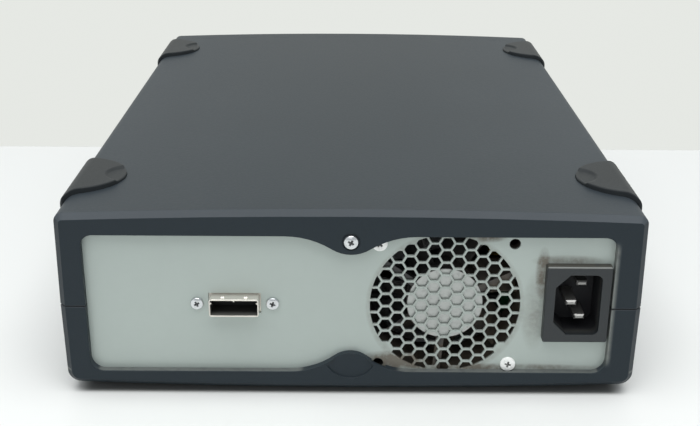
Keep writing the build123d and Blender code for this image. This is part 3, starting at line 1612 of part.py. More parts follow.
with BuildPart() as takeup_reel:
    for low in (reel_low, reel_low + reel_tall - reel_flange):
        with BuildSketch(level(low)):
            with Locations((reel_x, reel_y)):
                Circle(reel_radius)
                with PolarLocations((reel_radius + reel_hub) / 2, reel_spokes):
                    SlotOverall(window_length, window_width, rotation=90, mode=Mode.SUBTRACT)
        extrude(amount=reel_flange)
    with BuildSketch(level(reel_low)):
        with Locations((reel_x, reel_y)):
            Circle(reel_hub)
            Circle(reel_hub - reel_hub_wall, mode=Mode.SUBTRACT)
            with PolarLocations(reel_hub / 2, reel_spokes):
                Rectangle(reel_hub - reel_hub_wall / 2, spoke_width)
            Circle(reel_boss)
    extrude(amount=reel_tall)
    with BuildSketch(level(floor_top + chuck_gap)):
        with Locations((reel_x, reel_y)):
            Circle(reel_shaft)
    extrude(amount=reel_low - floor_top)
keep(takeup_reel, "takeup_reel")

# Guide rollers on their posts
roller_radius = 5.5
roller_rim = 7.0
rim_thick = 1.0
roller_height = 9.6
roller_tall = 16.4
roller_gap = 0.2
post_pin = 1.5
post_foot = 4.0
post_cap = 3.0
post_cap_thick = 0.8
roller_offsets = ((28.0, 31.0), (42.0, 19.0), (42.0, -19.0), (28.0, -31.0))
roller_low = drive_z + roller_height
roller_high = roller_low + roller_tall
roller_spots = [(drive_x - out, reel_y - ahead) for out, ahead in roller_offsets]

with BuildPart() as roller_posts:
    with BuildSketch(level(floor_top)):
        with Locations(*roller_spots):
            Circle(post_foot)
    extrude(amount=roller_low - roller_gap - floor_top)
    with BuildSketch(level(floor_top)):
        with Locations(*roller_spots):
            Circle(post_pin)
    extrude(amount=roller_high + roller_gap - floor_top)
    with BuildSketch(level(roller_high + roller_gap)):
        with Locations(*roller_spots):
            Circle(post_cap)
    extrude(amount=post_cap_thick)
keep(roller_posts, "roller_posts")

for number, spot in enumerate(roller_spots, start=1):
    with BuildPart() as roller:
        with BuildSketch(level(roller_low)):
            with Locations(spot):
                Circle(roller_rim)
        extrude(amount=rim_thick)
        with BuildSketch(level(roller_low)):
            with Locations(spot):
                Circle(roller_radius)
        extrude(amount=roller_high - roller_low)
        with BuildSketch(level(roller_high - rim_thick)):
            with Locations(spot):
                Circle(roller_rim)
        extrude(amount=rim_thick)
        with BuildSketch(level(roller_low)):
            with Locations(spot):
                Circle(post_pin + running)
        extrude(amount=roller_high - roller_low, mode=Mode.SUBTRACT)
    keep(roller, f"guide_roller_{number}")

# Tape head on its two upright guides
head_offset = 38.0
head_travel = 1.2
head_post = 1.0
head_post_half_pitch = 6.0
head_thick = 9.0
head_wide = 18.0
head_tall = 13.5
nose_reach = 5.0
nose_half = 5.5
coil_thick = 2.4
coil_wide = 9.0
actuator_base = 3.2
actuator_long = 18.0
actuator_wide = 20.0
head_clear = 0.5            # beyond the head's travel at each end
magnet_gap = 0.5
magnet_thick = 5.6
bridge_thick = 1.4
head_x = drive_x - head_offset
head_y = reel_y
head_low = floor_top + actuator_base + head_clear + head_travel
head_high = head_low + head_tall
bridge_low = head_high + head_travel + head_clear
head_post_spots = [(head_x, head_y + side * head_post_half_pitch) for side in (-1, 1)]
magnet_x = head_x + head_thick / 2 + coil_thick + magnet_gap
base_x = magnet_x + magnet_thick - actuator_long / 2

with BuildPart() as tape_head:
    with BuildSketch(level(head_low)):
        with Locations((head_x, head_y)):
            Rectangle(head_thick, head_wide)
        with Locations((head_x - head_thick / 2, head_y)):
            Ellipse(nose_reach, nose_half)
        with Locations(*head_post_spots):
            Circle(head_post + running, mode=Mode.SUBTRACT)
        with Locations((head_x + (head_thick + coil_thick) / 2, head_y)):
            Rectangle(coil_thick, coil_wide)
    extrude(amount=head_tall)
keep(tape_head, "tape_head")

with BuildPart() as head_actuator:
    with BuildSketch(level(floor_top)):
        with Locations((base_x, head_y)):
            Rectangle(actuator_long, actuator_wide)
    extrude(amount=actuator_base)
    with BuildSketch(level(floor_top)):
        with Locations(*head_post_spots):
            Circle(head_post)
        with Locations((magnet_x + magnet_thick / 2, head_y)):
            Rectangle(magnet_thick, actuator_wide)
    extrude(amount=bridge_low - floor_top)
    with BuildSketch(level(bridge_low)):
        with Locations((base_x, head_y)):
            Rectangle(actuator_long, actuator_wide)
    extrude(amount=bridge_thick)
keep(head_actuator, "head_actuator")

# Power supply beside the drive
supply_margin = 31.2        # side of the case to the middle of the board
supply_x = supply_margin - case_width / 2
supply_inset = 36.0         # board's rear edge from the rear face
supply_board_width = 36.0
supply_board_length = 150.0
standoff_high = 5.0
standoff_radius = 2.5
standoff_inset = 4.0
header_width = 12.0
header_deep = 9.0
header_tall = 9.0
header_offset = 10.0
header_inset = 8.0
supply_rear = rear - supply_inset
supply_top = tray_top + standoff_high + circuit_board
header_spots = [(supply_x + side * header_offset, supply_rear - header_inset) for side in (-1, 1)]

with BuildPart() as psu_board:
    board_middle = (supply_x, supply_rear - supply_board_length / 2)
    with BuildSketch(level(supply_top)):
        with Locations(board_middle):
            Rectangle(supply_board_width, supply_board_length)
    extrude(amount=-circuit_board)
    with BuildSketch(level(tray_top)):
        with Locations(board_middle):
            pitch_across = supply_board_width - 2 * standoff_inset
            pitch_along = supply_board_length - 2 * standoff_inset
            with GridLocations(pitch_across, pitch_along, 2, 2):
                Circle(standoff_radius)
    extrude(amount=standoff_high)
    with BuildSketch(level(supply_top)):
        with Locations(*header_spots):
            Rectangle(header_width, header_deep)
    extrude(amount=header_tall)
keep(psu_board, "psu_board")

core_width = 14.0
core_length = 32.0
core_tall = 26.0
winding_width = 28.0
winding_length = 22.0
winding_tall = 19.0
winding_corner = 4.0
transformer_inset = 72.0
with BuildPart() as psu_transformer:
    with BuildSketch(level(supply_top)):
        with Locations((supply_x, supply_rear - transformer_inset)):
            Rectangle(core_width, core_length)
    extrude(amount=core_tall)
    with BuildSketch(level(supply_top)):
        with Locations((supply_x, supply_rear - transformer_inset)):
            RectangleRounded(winding_width, winding_length, winding_corner)
    extrude(amount=winding_tall)
keep(psu_transformer, "psu_transformer")

sink_offset = 10.0
sink_inset = 122.0
sink_length = 44.0
sink_tall = 32.0
sink_web = 2.0
sink_fins = 7
fin_pitch = 7.0
fin_thick = 1.4
fin_reach = 5.0
with BuildPart() as psu_heatsink:
    with BuildSketch(level(supply_top)):
        with Locations((supply_x + sink_offset, supply_rear - sink_inset)):
            Rectangle(sink_web, sink_length)
        with Locations((supply_x + sink_offset + fin_reach / 2, supply_rear - sink_inset)):
            with GridLocations(0, fin_pitch, 1, sink_fins):
                Rectangle(fin_reach, fin_thick)
    extrude(amount=sink_tall)
keep(psu_heatsink, "psu_heatsink")

main_capacitor = 11.0
main_capacitor_tall = 30.0
main_capacitor_inset = 36.0
small_capacitor = 5.0
small_capacitor_tall = 18.0
small_capacitor_offset = 9.0
small_capacitor_insets = (104.0, 116.0, 128.0)
capacitor_edge = 0.6
with BuildPart() as psu_capacitors:
    with BuildSketch(level(supply_top)):
        with Locations((supply_x, supply_rear - main_capacitor_inset)):
            Circle(main_capacitor)
    extrude(amount=main_capacitor_tall)
    with BuildSketch(level(supply_top)):
        small_x = supply_x - small_capacitor_offset
        with Locations(*[(small_x, supply_rear - inset) for inset in small_capacitor_insets]):
            Circle(small_capacitor)
    extrude(amount=small_capacitor_tall)
    tops = psu_capacitors.faces().filter_by(Axis.Z).filter_by(lambda f: f.center().Z > supply_top)
    chamfer(tops.edges(), capacitor_edge)
keep(psu_capacitors, "psu_capacitors")


# Internal leads, held at both ends
def lead(route, diameter):
    """Tube along straight runs joined by arcs as large as the two runs allow."""
    radii = []
    for before, here, after in zip(route, route[1:], route[2:]):
        run_in, run_out = Vector(here) - Vector(before), Vector(after) - Vector(here)
        turn = radians(run_in.get_angle(run_out))
        radii.append(0.45 * min(run_in.length, run_out.length) / tan(turn / 2))
    print("bend radii in lead diameters", [round(radius / diameter, 1) for radius in radii])
    with BuildPart() as tube:
        with BuildLine() as path:
            FilletPolyline(*route, radius=radii)
        start = Vector(route[1]) - Vector(route[0])
        with BuildSketch(Plane(origin=route[0], z_dir=start)):
            Circle(diameter / 2)
        sweep(path=path.wires()[0])
    return tube


data_lead = 3.4
power_lead = 3.2
power_offset = 14.0         # power lead beside the data lead at the drive's plug
plug_z = drive_z + (plug_high + board_low + board_thick) / 2
data_straight = 13.2
data_cable = lead(
    [
        (port_x, rear - port_depth, port_z),
        (port_x, rear - port_depth - data_straight, port_z),
        (port_x, drive_rear + data_straight, plug_z),
        (port_x, drive_rear, plug_z),
    ],
    data_lead,
)
keep(data_cable, "data_cable")

header_x = supply_x + header_offset + header_width / 2
header_y = supply_rear - header_inset
lead_z = supply_top + header_tall / 2
power_cable = lead(
    [
        (header_x, header_y, lead_z),
        (header_x + 22, header_y, lead_z),
        (header_x + 54, header_y - 3, lead_z - 1),
        (port_x - power_offset, header_y + 4, plug_z),
        (port_x - power_offset, drive_rear, plug_z),
    ],
    power_lead,
)
keep(power_cable, "power_cable")
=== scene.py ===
# %% [markdown]
# A desktop data tape drive, seen from its rear.
#
# The real object is a dark plastic case in two halves with a steel plate behind it. Every hard
# part comes from the packed frame with its true size, so this lesson dresses it: the finishes
# of plastic, steel and rubber, and the pieces that are too fine or too soft in outline for the
# frame. All lengths are in metres, with X to the right seen from the front, Y from the front to
# the rear and Z up.

import bpy
import json
import math
import numpy as np
from mathutils import Matrix, Vector


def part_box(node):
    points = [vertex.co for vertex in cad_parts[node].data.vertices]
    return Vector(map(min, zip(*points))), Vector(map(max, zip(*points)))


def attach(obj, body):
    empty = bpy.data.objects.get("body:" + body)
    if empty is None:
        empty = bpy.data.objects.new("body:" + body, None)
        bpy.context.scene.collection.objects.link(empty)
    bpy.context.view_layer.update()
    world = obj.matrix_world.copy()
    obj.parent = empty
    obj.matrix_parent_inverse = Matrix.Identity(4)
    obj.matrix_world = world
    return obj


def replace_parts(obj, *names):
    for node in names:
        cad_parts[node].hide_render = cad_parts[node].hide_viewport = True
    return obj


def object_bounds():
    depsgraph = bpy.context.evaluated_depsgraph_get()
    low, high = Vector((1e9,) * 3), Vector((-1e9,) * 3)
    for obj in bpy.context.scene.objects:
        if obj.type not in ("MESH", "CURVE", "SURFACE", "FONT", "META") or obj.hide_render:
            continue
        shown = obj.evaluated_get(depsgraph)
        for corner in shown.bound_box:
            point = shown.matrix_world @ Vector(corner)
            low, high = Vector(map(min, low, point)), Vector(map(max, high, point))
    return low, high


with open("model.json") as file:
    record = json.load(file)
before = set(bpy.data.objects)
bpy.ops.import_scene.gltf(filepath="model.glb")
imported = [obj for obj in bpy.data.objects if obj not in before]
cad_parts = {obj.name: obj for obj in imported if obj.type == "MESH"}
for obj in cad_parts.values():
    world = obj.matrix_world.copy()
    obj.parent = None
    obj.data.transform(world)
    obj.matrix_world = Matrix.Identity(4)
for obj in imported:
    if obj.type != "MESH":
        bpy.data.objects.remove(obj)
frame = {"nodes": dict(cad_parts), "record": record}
nodes = frame["nodes"]
cad_low, cad_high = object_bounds()
mm = 0.001
print("nodes", len(nodes), "size in mm", [round(v / mm, 1) for v in (cad_high - cad_low)])

# %% [markdown]
# The camera comes first, because every choice of finish is judged through it. It could be set by
# eye, but then shapes and view would be mixed up. So it was fitted: known points of the case, the
# fan and the inlet were projected until they fell on their pixels. It stands 370 mm behind the
# rear face and 218 mm above the underside, and looks 21.4 degrees down, almost without turn or roll.

# %% Camera
shell_low, shell_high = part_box("bottom_shell")
REAR, UNDERSIDE = shell_high.y, shell_low.z
PHOTO_WIDE, FOCAL = 700, 1098.06  # both in pixels
PITCH, YAW, ROLL = math.radians(21.361), math.radians(-0.084), math.radians(0.363)
STAND = Vector((1.02 * mm, REAR + 370.19 * mm, UNDERSIDE + 218.01 * mm))


def turned(pitch, yaw, roll):
    """Camera axes: a level view tipped down by pitch, swung by yaw round the upright, then
    rolled about its own line of sight. Seen from the rear, so X and Y are both reversed."""
    ahead = np.array([0.0, math.cos(pitch), -math.sin(pitch)])
    right = np.array([1.0, 0.0, 0.0])
    up = np.cross(right, ahead)
    swing = np.array(Matrix.Rotation(yaw, 3, "Z"))
    ahead, right, up = swing @ ahead, swing @ right, swing @ up
    rolled = math.cos(roll) * right + math.sin(roll) * up, math.cos(roll) * up - math.sin(roll) * right
    rear_view = np.array([-1.0, -1.0, 1.0])
    return rolled[0] * rear_view, rolled[1] * rear_view, -ahead * rear_view


camera = bpy.data.cameras.new("camera")
camera.sensor_width = 36.0
camera.lens = FOCAL / PHOTO_WIDE * camera.sensor_width
camera.clip_start, camera.clip_end = 0.01, 20.0
camera_object = bpy.data.objects.new("camera", camera)
columns = turned(PITCH, YAW, ROLL)
pose = Matrix([[float(column[row]) for column in columns] for row in range(3)]).to_4x4()
pose.translation = STAND
camera_object.matrix_world = pose
bpy.context.scene.collection.objects.link(camera_object)
bpy.context.scene.camera = camera_object
print("lens", round(camera.lens, 2), "camera at mm", [round(v / mm, 1) for v in STAND])

# %% [markdown]
# Finishes are written as sums and products of masks. They could be wired by hand, node by node,
# but then no one can read what they mean. A small class holds one output of a material instead,
# and its operators add the Math nodes, so that a line of code reads like the formula that it
# stands for. The reflected forms, such as __rsub__, serve a number that stands first, as in
# 1 - mask.


# %% Wires that can be added and multiplied
class Wire:
    """One socket of a material; + - * / and ** add a Math node on it."""

    def __init__(self, finish, socket):
        self.finish, self.socket = finish, socket

    def _math(self, operation, *values):
        return self.finish.node("ShaderNodeMath", {"operation": operation}, *values)

    def __add__(self, other):
        return self._math("ADD", self, other)

    def __sub__(self, other):
        return self._math("SUBTRACT", self, other)

    def __rsub__(self, other):
        return self._math("SUBTRACT", other, self)

    def __mul__(self, other):
        return self._math("MULTIPLY", self, other)

    def __truediv__(self, other):
        return self._math("DIVIDE", self, other)

    def __pow__(self, other):
        return self._math("POWER", self, other)

    __radd__, __rmul__ = __add__, __mul__

    def least(self, other):
        return self._math("MINIMUM", self, other)

    def most(self, other):
        return self._math("MAXIMUM", self, other)

    def ramp(self, low, high):
        """0 at low and 1 at high, smooth between."""
        settings = {"interpolation_type": "SMOOTHSTEP"}
        return self.finish.node("ShaderNodeMapRange", settings, self, low, high, 0.0, 1.0)


print("operators of a wire:", [name for name in vars(Wire) if name.startswith("__r")])

# %% [markdown]
# A finish is one material with one Principled shader. Any node that isn't a Math node comes from
# one method, which sets the node's choices first and its inputs after. Patterns read the object's
# own coordinates, which are the frame's metres, so they have their true size and stay on a part
# that moves. The Bevel node turns the normal as if each edge were round, and where that leaves the
# true normal there is an edge, the place that wear finds first.


# %% Finishes
class Finish:
    """A material with one Principled shader, built from expressions."""

    def __init__(self, name, colour, roughness, metallic=0.0, **plain):
        self.material = bpy.data.materials.new(name)
        self.material.use_nodes = True
        self.tree = self.material.node_tree
        self.shader = self.tree.nodes["Principled BSDF"]
        self.material.diffuse_color = (*colour, 1.0)
        self.set("Base Color", (*colour, 1.0))
        self.set("Roughness", roughness)
        self.set("Metallic", metallic)
        for socket, value in plain.items():
            self.set(socket.replace("_", " "), value)

    def set(self, socket, value):
        """A wire or a plain value goes to the shader's own socket."""
        if isinstance(value, Wire):
            self.tree.links.new(value.socket, self.shader.inputs[socket])
        else:
            self.shader.inputs[socket].default_value = value

    def node(self, kind, settings, *inputs, out=0, **named):
        """A node of any kind: its settings, then its inputs in order or by name."""
        made = self.tree.nodes.new(kind)
        for key, value in settings.items():
            setattr(made, key, value)
        slots = [(made.inputs[i], value) for i, value in enumerate(inputs)]
        slots += [(made.inputs[key.replace("_", " ")], value) for key, value in named.items()]
        for slot, value in slots:
            if isinstance(value, Wire):
                self.tree.links.new(value.socket, slot)
            elif value is not None:
                slot.default_value = value
        return Wire(self, made.outputs[out])

    def place(self):
        """Object coordinates, which are the frame's own metres."""
        return self.node("ShaderNodeTexCoord", {}, out="Object")

    def axes(self, names, vector=None):
        """The named axes of a vector, or else of the point's own place."""
        parts = self.node("ShaderNodeSeparateXYZ", {}, vector or self.place()).socket.node
        return [Wire(self, parts.outputs[name]) for name in names]

    def noise(self, grain, detail=3.0, rough=0.55, stretch=None):
        """Noise whose lumps are about grain metres across, stretched along an axis if asked."""
        where = self.place()
        if stretch:
            where = self.node("ShaderNodeMapping", {}, Vector=where, Scale=stretch)
        settings = {"noise_dimensions": "3D"}
        return self.node(
            "ShaderNodeTexNoise", settings, Vector=where, Scale=0.5 / grain, Detail=detail, Roughness=rough
        )

    def mix(self, amount, first, second):
        """The first colour where amount is 0, the second where it is 1."""
        made = self.tree.nodes.new("ShaderNodeMix")
        made.data_type = "RGBA"
        for key, value in (("Factor", amount), ("A", first), ("B", second)):
            slot = [s for s in made.inputs if s.name == key and s.enabled][0]
            if isinstance(value, Wire):
                self.tree.links.new(value.socket, slot)
            elif key == "Factor":
                slot.default_value = value
            else:
                slot.default_value = (*value[:3], 1.0)
        return Wire(self, [s for s in made.outputs if s.enabled][0])

    def rounded(self, radius):
        """Normals turned as if every edge had this radius."""
        return self.node("ShaderNodeBevel", {"samples": 6}, Radius=radius)

    def edge_wear(self, radius):
        """1 on edges and 0 on flats: how far the rounded normal leaves the true one."""
        true = self.node("ShaderNodeNewGeometry", {}, out="Normal")
        along = self.node(
            "ShaderNodeVectorMath", {"operation": "DOT_PRODUCT"}, self.rounded(radius), true, out="Value"
        )
        return (1.0 - along).ramp(0.004, 0.12)

    def relief(self, height, depth, edge):
        """Bump of a height map that spans depth metres, on normals rounded by edge."""
        bump = self.node(
            "ShaderNodeBump", {}, Strength=1.0, Distance=depth, Height=height, Normal=self.rounded(edge)
        )
        self.set("Normal", bump)


def grey(value, tint=(1.0, 1.0, 1.0)):
    """Linear colour of a display grey from 0 to 255, with a tint."""
    level = value / 255.0
    linear = level / 12.92 if level <= 0.04045 else ((level + 0.055) / 1.055) ** 2.4
    return tuple(linear * part for part in tint)


def scaled(colour, by, plus=0.0):
    """The colour made darker or lighter, never above 1."""
    return tuple(min(part * by + plus, 1.0) for part in colour)


print("grey 128 in linear light", [round(part, 3) for part in grey(128)])

# %% [markdown]
# The case is moulded in charcoal plastic with a fine spark-eroded grain. The grain could be true
# displacement, but its pits are far smaller than a pixel of the view, so they go into the bump
# and a little into the colour and the roughness, where they read as a soft sheen. Handling has
# polished the edges.


# %% Moulded plastic
def moulded(name, colour, roughness, grain=0.55 * mm, pits=0.07 * mm, edge=0.35 * mm, gloss=1.5, dusty=None):
    """Plastic with an eroded grain: two noises, one for the pits and one for their clusters. The
    dusty function, where given, makes the mask and the colour laid on it: dust, and also a painted
    sheen on the case and painted shade in the inlet."""
    finish = Finish(name, colour, roughness, IOR=gloss)
    fine = finish.noise(grain, 2.0)
    coarse = finish.noise(grain * 5.0, 2.0)
    cloud = finish.noise(45 * mm, 3.0, stretch=(1.0, 0.35, 1.0))
    worn = finish.edge_wear(edge)
    tone = (fine - 0.5) * 0.35 + (coarse - 0.5) * 0.12 + (cloud - 0.5) * 0.25 + worn * 0.25 + 0.5
    plain = finish.mix(tone.least(1.0).most(0.0), scaled(colour, 0.72), scaled(colour, 1.35))
    rough = roughness + (fine - 0.5) * 0.10 + (cloud - 0.5) * 0.06 - worn * 0.06
    if dusty:
        overlay, dust = dusty(finish)
        plain = finish.mix(overlay, plain, dust)
        rough = rough + overlay * 0.3
    finish.set("Base Color", plain)
    finish.set("Roughness", rough)
    finish.relief(fine * 0.7 + coarse * 0.3, pits, edge)
    return finish.material


drive_plastic = moulded("drive_plastic", grey(44, (0.95, 1.0, 1.06)), 0.5, edge=0.2 * mm)
button_grey = moulded("button_grey", grey(96, (0.96, 1.0, 1.04)), 0.45, edge=0.3 * mm)
print("moulded", drive_plastic.name, button_grey.name)

# %% [markdown]
# A case that has stood on a shelf has dust where nobody wipes: on the sill of the rear window
# and along its edge beside the inlet. All that faces up gets a painted sheen, most on the rear
# bevel and towards the sides. The seam between the two shells is dark. All this could be painted
# on an image, but masks made from distances need none, and each can be moved by one number.

# %% Dust, seam and painted sheen of the case
WINDOW_HALF, WINDOW_SHIFT = 98.6 * mm, 0.8 * mm
WINDOW_LOW, WINDOW_HIGH = UNDERSIDE + 7.65 * mm, UNDERSIDE + 63.9 * mm
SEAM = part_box("top_shell")[0].z
print("seam at mm", round(SEAM / mm, 2), "bottom shell up to", round(shell_high.z / mm, 2))


def rim_dust_seam_and_sheen(finish):
    """Grey dust on the sill of the rear window and along its edge beside the inlet, a painted sheen
    on all that faces up, most on the rear bevel and towards the sides, and the dark of the seam
    between the shells."""
    x, y, z = finish.axes("XYZ")
    behind, above_sill = (y - REAR) / mm, (z - WINDOW_LOW) / mm
    rear = behind.ramp(-3.4, -3.0)
    sill = above_sill.ramp(-0.5, -0.1) * (1.0 - above_sill.ramp(0.4, 0.9))
    sill = sill * (1.0 - behind.ramp(-0.5, -0.3)) * (x**2 / mm**2).ramp(270.0, 400.0)
    beside = (x - (WINDOW_SHIFT - WINDOW_HALF)) / mm
    edge = beside.ramp(-2.0, 0.2) * (1.0 - beside.ramp(0.5, 1.0))
    edge = edge * above_sill.ramp(2.0, 7.0) * ((WINDOW_HIGH - z) / mm).ramp(1.0, 6.0)
    broken = finish.noise(1.6 * mm, 4.0, 0.65).ramp(0.2, 0.6) * 0.35 + 0.65
    dust = rear * (sill * 0.55 + edge * 0.8).least(0.8) * broken
    # Painted sheen: all that faces up is lightened, more where it faces the rear and towards the sides.
    backward, upward = finish.axes("YZ", finish.node("ShaderNodeNewGeometry", {}, out="Normal"))
    film = backward.ramp(0.2, 0.45) * 0.15 + (x / cad_high.x) ** 2 * 0.14 + 0.10
    film = film * upward.ramp(0.15, 0.4) * (finish.noise(30 * mm, 3.0) * 0.8 + 0.6)
    seam = 1.0 - ((z - SEAM) ** 2 / (0.5 * mm) ** 2).least(1.0)
    # With no dust the colour is the painted sheen's, lighter than the plastic; dust is paler still.
    pale = finish.mix((dust * 6.0).least(1.0), (0.11, 0.125, 0.14), (0.22, 0.235, 0.22))
    colour = finish.mix(seam, pale, (0.002, 0.002, 0.003))
    return dust.most(seam).most(film), colour


case_plastic = moulded("case_plastic", grey(33, (0.50, 1.0, 1.40)), 0.45, gloss=1.38, dusty=rim_dust_seam_and_sheen)
print("case_plastic has", len(case_plastic.node_tree.nodes), "nodes")

# %% [markdown]
# The pads and feet are soft dark rubber. It could share the finish of the case, but rubber holds
# dust in its pores and has no clear gloss. So it gets a higher roughness, fine pores and a pale
# bloom that gathers where fingers don't reach.


# %% Rubber
def rubber(name, colour, roughness):
    """Matt rubber: fine pores in the bump, and a dusty bloom that lightens the colour."""
    finish = Finish(name, colour, roughness, IOR=1.35)
    pores = finish.noise(0.4 * mm, 3.0)
    bloom = finish.noise(9 * mm, 4.0).ramp(0.45, 0.8)
    worn = finish.edge_wear(0.5 * mm)
    finish.set("Base Color", finish.mix(bloom * 0.4 + worn * 0.1, colour, scaled(colour, 1.4, 0.004)))
    finish.set("Roughness", roughness + (pores - 0.5) * 0.12 - worn * 0.08)
    finish.relief(pores, 0.03 * mm, 0.5 * mm)
    return finish.material


pad_rubber = rubber("pad_rubber", grey(42, (0.84, 1.0, 1.10)), 0.5)
lead_grey = rubber("lead_grey", grey(60), 0.5)
print("rubber", pad_rubber.name, lead_grey.name)

# %% [markdown]
# The rear plate carries the grille of the fan, the inlet and the port. Its finish follows them, so
# their places are read from the frame, and nothing has to be moved by hand when a part changes.

# %% Places on the rear plate
fan_low, fan_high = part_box("fan_rotor")
FAN_X, FAN_Z = (fan_low.x + fan_high.x) / 2, (fan_low.z + fan_high.z) / 2
GRILLE = 28.4 * mm
inlet_low, inlet_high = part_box("inlet_body")
plate_low, plate_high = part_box("rear_plate")
cage_low, cage_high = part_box("port_cage")
port_low, port_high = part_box("port_receptacle")
PORT_X = (cage_low.x + cage_high.x) / 2
PORT_Z = (port_low.z + port_high.z) / 2
PORT_FACE = cage_high.y
PORT_HALF_WIDE, PORT_HALF_TALL, PORT_SKIN = 9.25 * mm, 3.5 * mm, 0.4 * mm
print("fan axis in mm", round(FAN_X / mm, 1), round(FAN_Z / mm, 1))

# %% [markdown]
# The plate is zinc-plated steel that reads as a flat, slightly green grey. The fan drew brown dust
# to the edges of its grille, along the foot of the window and beside the inlet. One noise all over
# would miss these places, so the dust is a ring round the grille and a few soft blots, each broken
# up by noise.

# %% Dust on the plate
# Middle, half width and half height of each blot of dust, with its strength.
DUST_BLOTS = [
    ((inlet_high.x + 1.0 * mm, inlet_high.z - 4.0 * mm), (3.0 * mm, 11.0 * mm), 1.3),
    ((inlet_high.x + 3.0 * mm, inlet_high.z - 20.0 * mm), (5.5 * mm, 17.0 * mm), 0.6),
    ((inlet_high.x - 8.0 * mm, inlet_high.z + 1.0 * mm), (14.0 * mm, 2.6 * mm), 0.9),
    ((FAN_X - 13.5 * mm, FAN_Z + 28.4 * mm), (9.0 * mm, 2.6 * mm), 1.5),
    ((FAN_X + 19.0 * mm, plate_low.z + 5.6 * mm), (15.0 * mm, 4.6 * mm), 1.9),
    ((FAN_X - 20.0 * mm, plate_low.z + 2.8 * mm), (44.0 * mm, 2.0 * mm), 1.1),
]
DUST = (0.105, 0.083, 0.060)


def plate_dust(finish):
    """1 where dust lies: a ring at the rim of the grille and the blots, both broken by noise."""
    x, z = finish.axes("XZ")
    broken = finish.noise(1.3 * mm, 5.0, 0.7)
    patch = finish.noise(7 * mm, 3.0)
    off = ((x - FAN_X) ** 2 + (z - FAN_Z) ** 2) ** 0.5
    overlay = (1.0 - ((off - GRILLE) ** 2 / (1.8 * mm) ** 2).least(1.0)) * 0.4
    overlay = overlay + (1.0 - off / GRILLE).ramp(0.0, 0.25) * 0.3
    for (middle_x, middle_z), (wide, high), strength in DUST_BLOTS:
        far = ((x - middle_x) / wide) ** 2 + ((z - middle_z) / high) ** 2
        overlay = overlay + (1.0 - far.least(1.0)) * strength
    overlay = overlay * (broken.ramp(0.25, 0.7) * 0.6 + 0.4) * (patch.ramp(0.2, 0.6) * 0.7 + 0.3)
    return overlay.least(1.0) * 0.85, DUST


print("blots of dust", len(DUST_BLOTS))

# %% [markdown]
# Close by, zinc shows faint spangle, and rolling leaves fine lines in the sheet. Both are noises,
# and the lines are one that is squeezed across the sheet. Dust isn't metal, so where it lies the
# finish is less metallic too. Cast, turned and plated parts share this finish without the lines.

# %% Plated sheet
WITHOUT_LINES = (1.0, 1.0, 1.0)


def plated(name, colour, roughness, metallic=0.75, line=(1.0, 12.0, 12.0), dusty=None):
    """Zinc-plated sheet: spangle in the colour, rolling lines in roughness and bump."""
    finish = Finish(name, colour, roughness, metallic)
    spangle = finish.noise(2.6 * mm, 2.0)
    rolled = finish.noise(3.0 * mm, 3.0, stretch=line)
    cloud = finish.noise(30 * mm, 3.0)
    worn = finish.edge_wear(0.12 * mm)
    tone = 0.5 + (spangle - 0.5) * 0.2 + (rolled - 0.5) * 0.15 + (cloud - 0.5) * 0.3 + worn * 0.3
    plain = finish.mix(tone.least(1.0).most(0.0), scaled(colour, 0.88), scaled(colour, 1.12))
    rough = roughness + (spangle - 0.5) * 0.08 + (rolled - 0.5) * 0.08
    # Dust, and in the port's cage painted shade, is laid over the colour and makes it less metallic.
    if dusty:
        overlay, dust = dusty(finish)
        plain = finish.mix(overlay, plain, dust)
        rough = rough + overlay * 0.25
        finish.set("Metallic", metallic - overlay * metallic * 0.9)
    finish.set("Base Color", plain)
    finish.set("Roughness", rough)
    finish.relief(rolled * 0.5 + spangle * 0.5, 0.012 * mm, 0.15 * mm)
    return finish.material


plate_steel = plated("plate_steel", grey(176, (0.90, 1.02, 0.96)), 0.5, 0.25, dusty=plate_dust)
tray_steel = plated("tray_steel", grey(190, (0.98, 1.0, 1.0)), 0.42)
cover_steel = plated("cover_steel", grey(196, (0.99, 1.0, 1.0)), 0.36)
screw_steel = plated("screw_steel", grey(205, (0.97, 1.0, 1.01)), 0.24, 0.9, WITHOUT_LINES)
screw_black = plated("screw_black", grey(66), 0.4, 0.5, WITHOUT_LINES)
nickel = plated("nickel", grey(212, (1.04, 1.0, 0.91)), 0.3, 0.6, WITHOUT_LINES)
pin_metal = plated("pin_metal", grey(150, (1.0, 1.0, 0.96)), 0.4, 0.85, WITHOUT_LINES)
motor_steel = plated("motor_steel", grey(185), 0.34, 0.9)
roller_metal = plated("roller_metal", grey(215), 0.22, 0.95, (8.0, 8.0, 1.0))
cast_metal = plated("cast_metal", grey(178, (0.99, 1.0, 1.01)), 0.5, 0.8, WITHOUT_LINES)
print("plate_steel has", len(plate_steel.node_tree.nodes), "nodes")

# %% [markdown]
# Fan, port and inlet each gather dirt in their own way. Dust sticks to the blades and struts, and
# most of it low. The port has grey dust on its floor near the mouth, and painted shade inside its
# cage. The inlet's flange carries brown dust on its top behind a painted highlight along its front
# edge, and painted shade makes its cavity nearly black. Lamps alone would leave both cavities too
# light, so their painted shade grows darker with depth.


# %% Dirt and painted shade of the fan, the port and the inlet
def fan_dust(finish):
    """Brown dust that sticks to the blades and struts, most of it low and on the inlet's side."""
    x, z = finish.axes("XZ")
    lean = ((FAN_X - x) + (FAN_Z - z) * 1.3) / (2.0 * GRILLE)
    return (lean + 0.6).ramp(0.0, 1.1) * finish.noise(2.2 * mm, 5.0, 0.7).ramp(0.25, 0.65) * 0.8, DUST


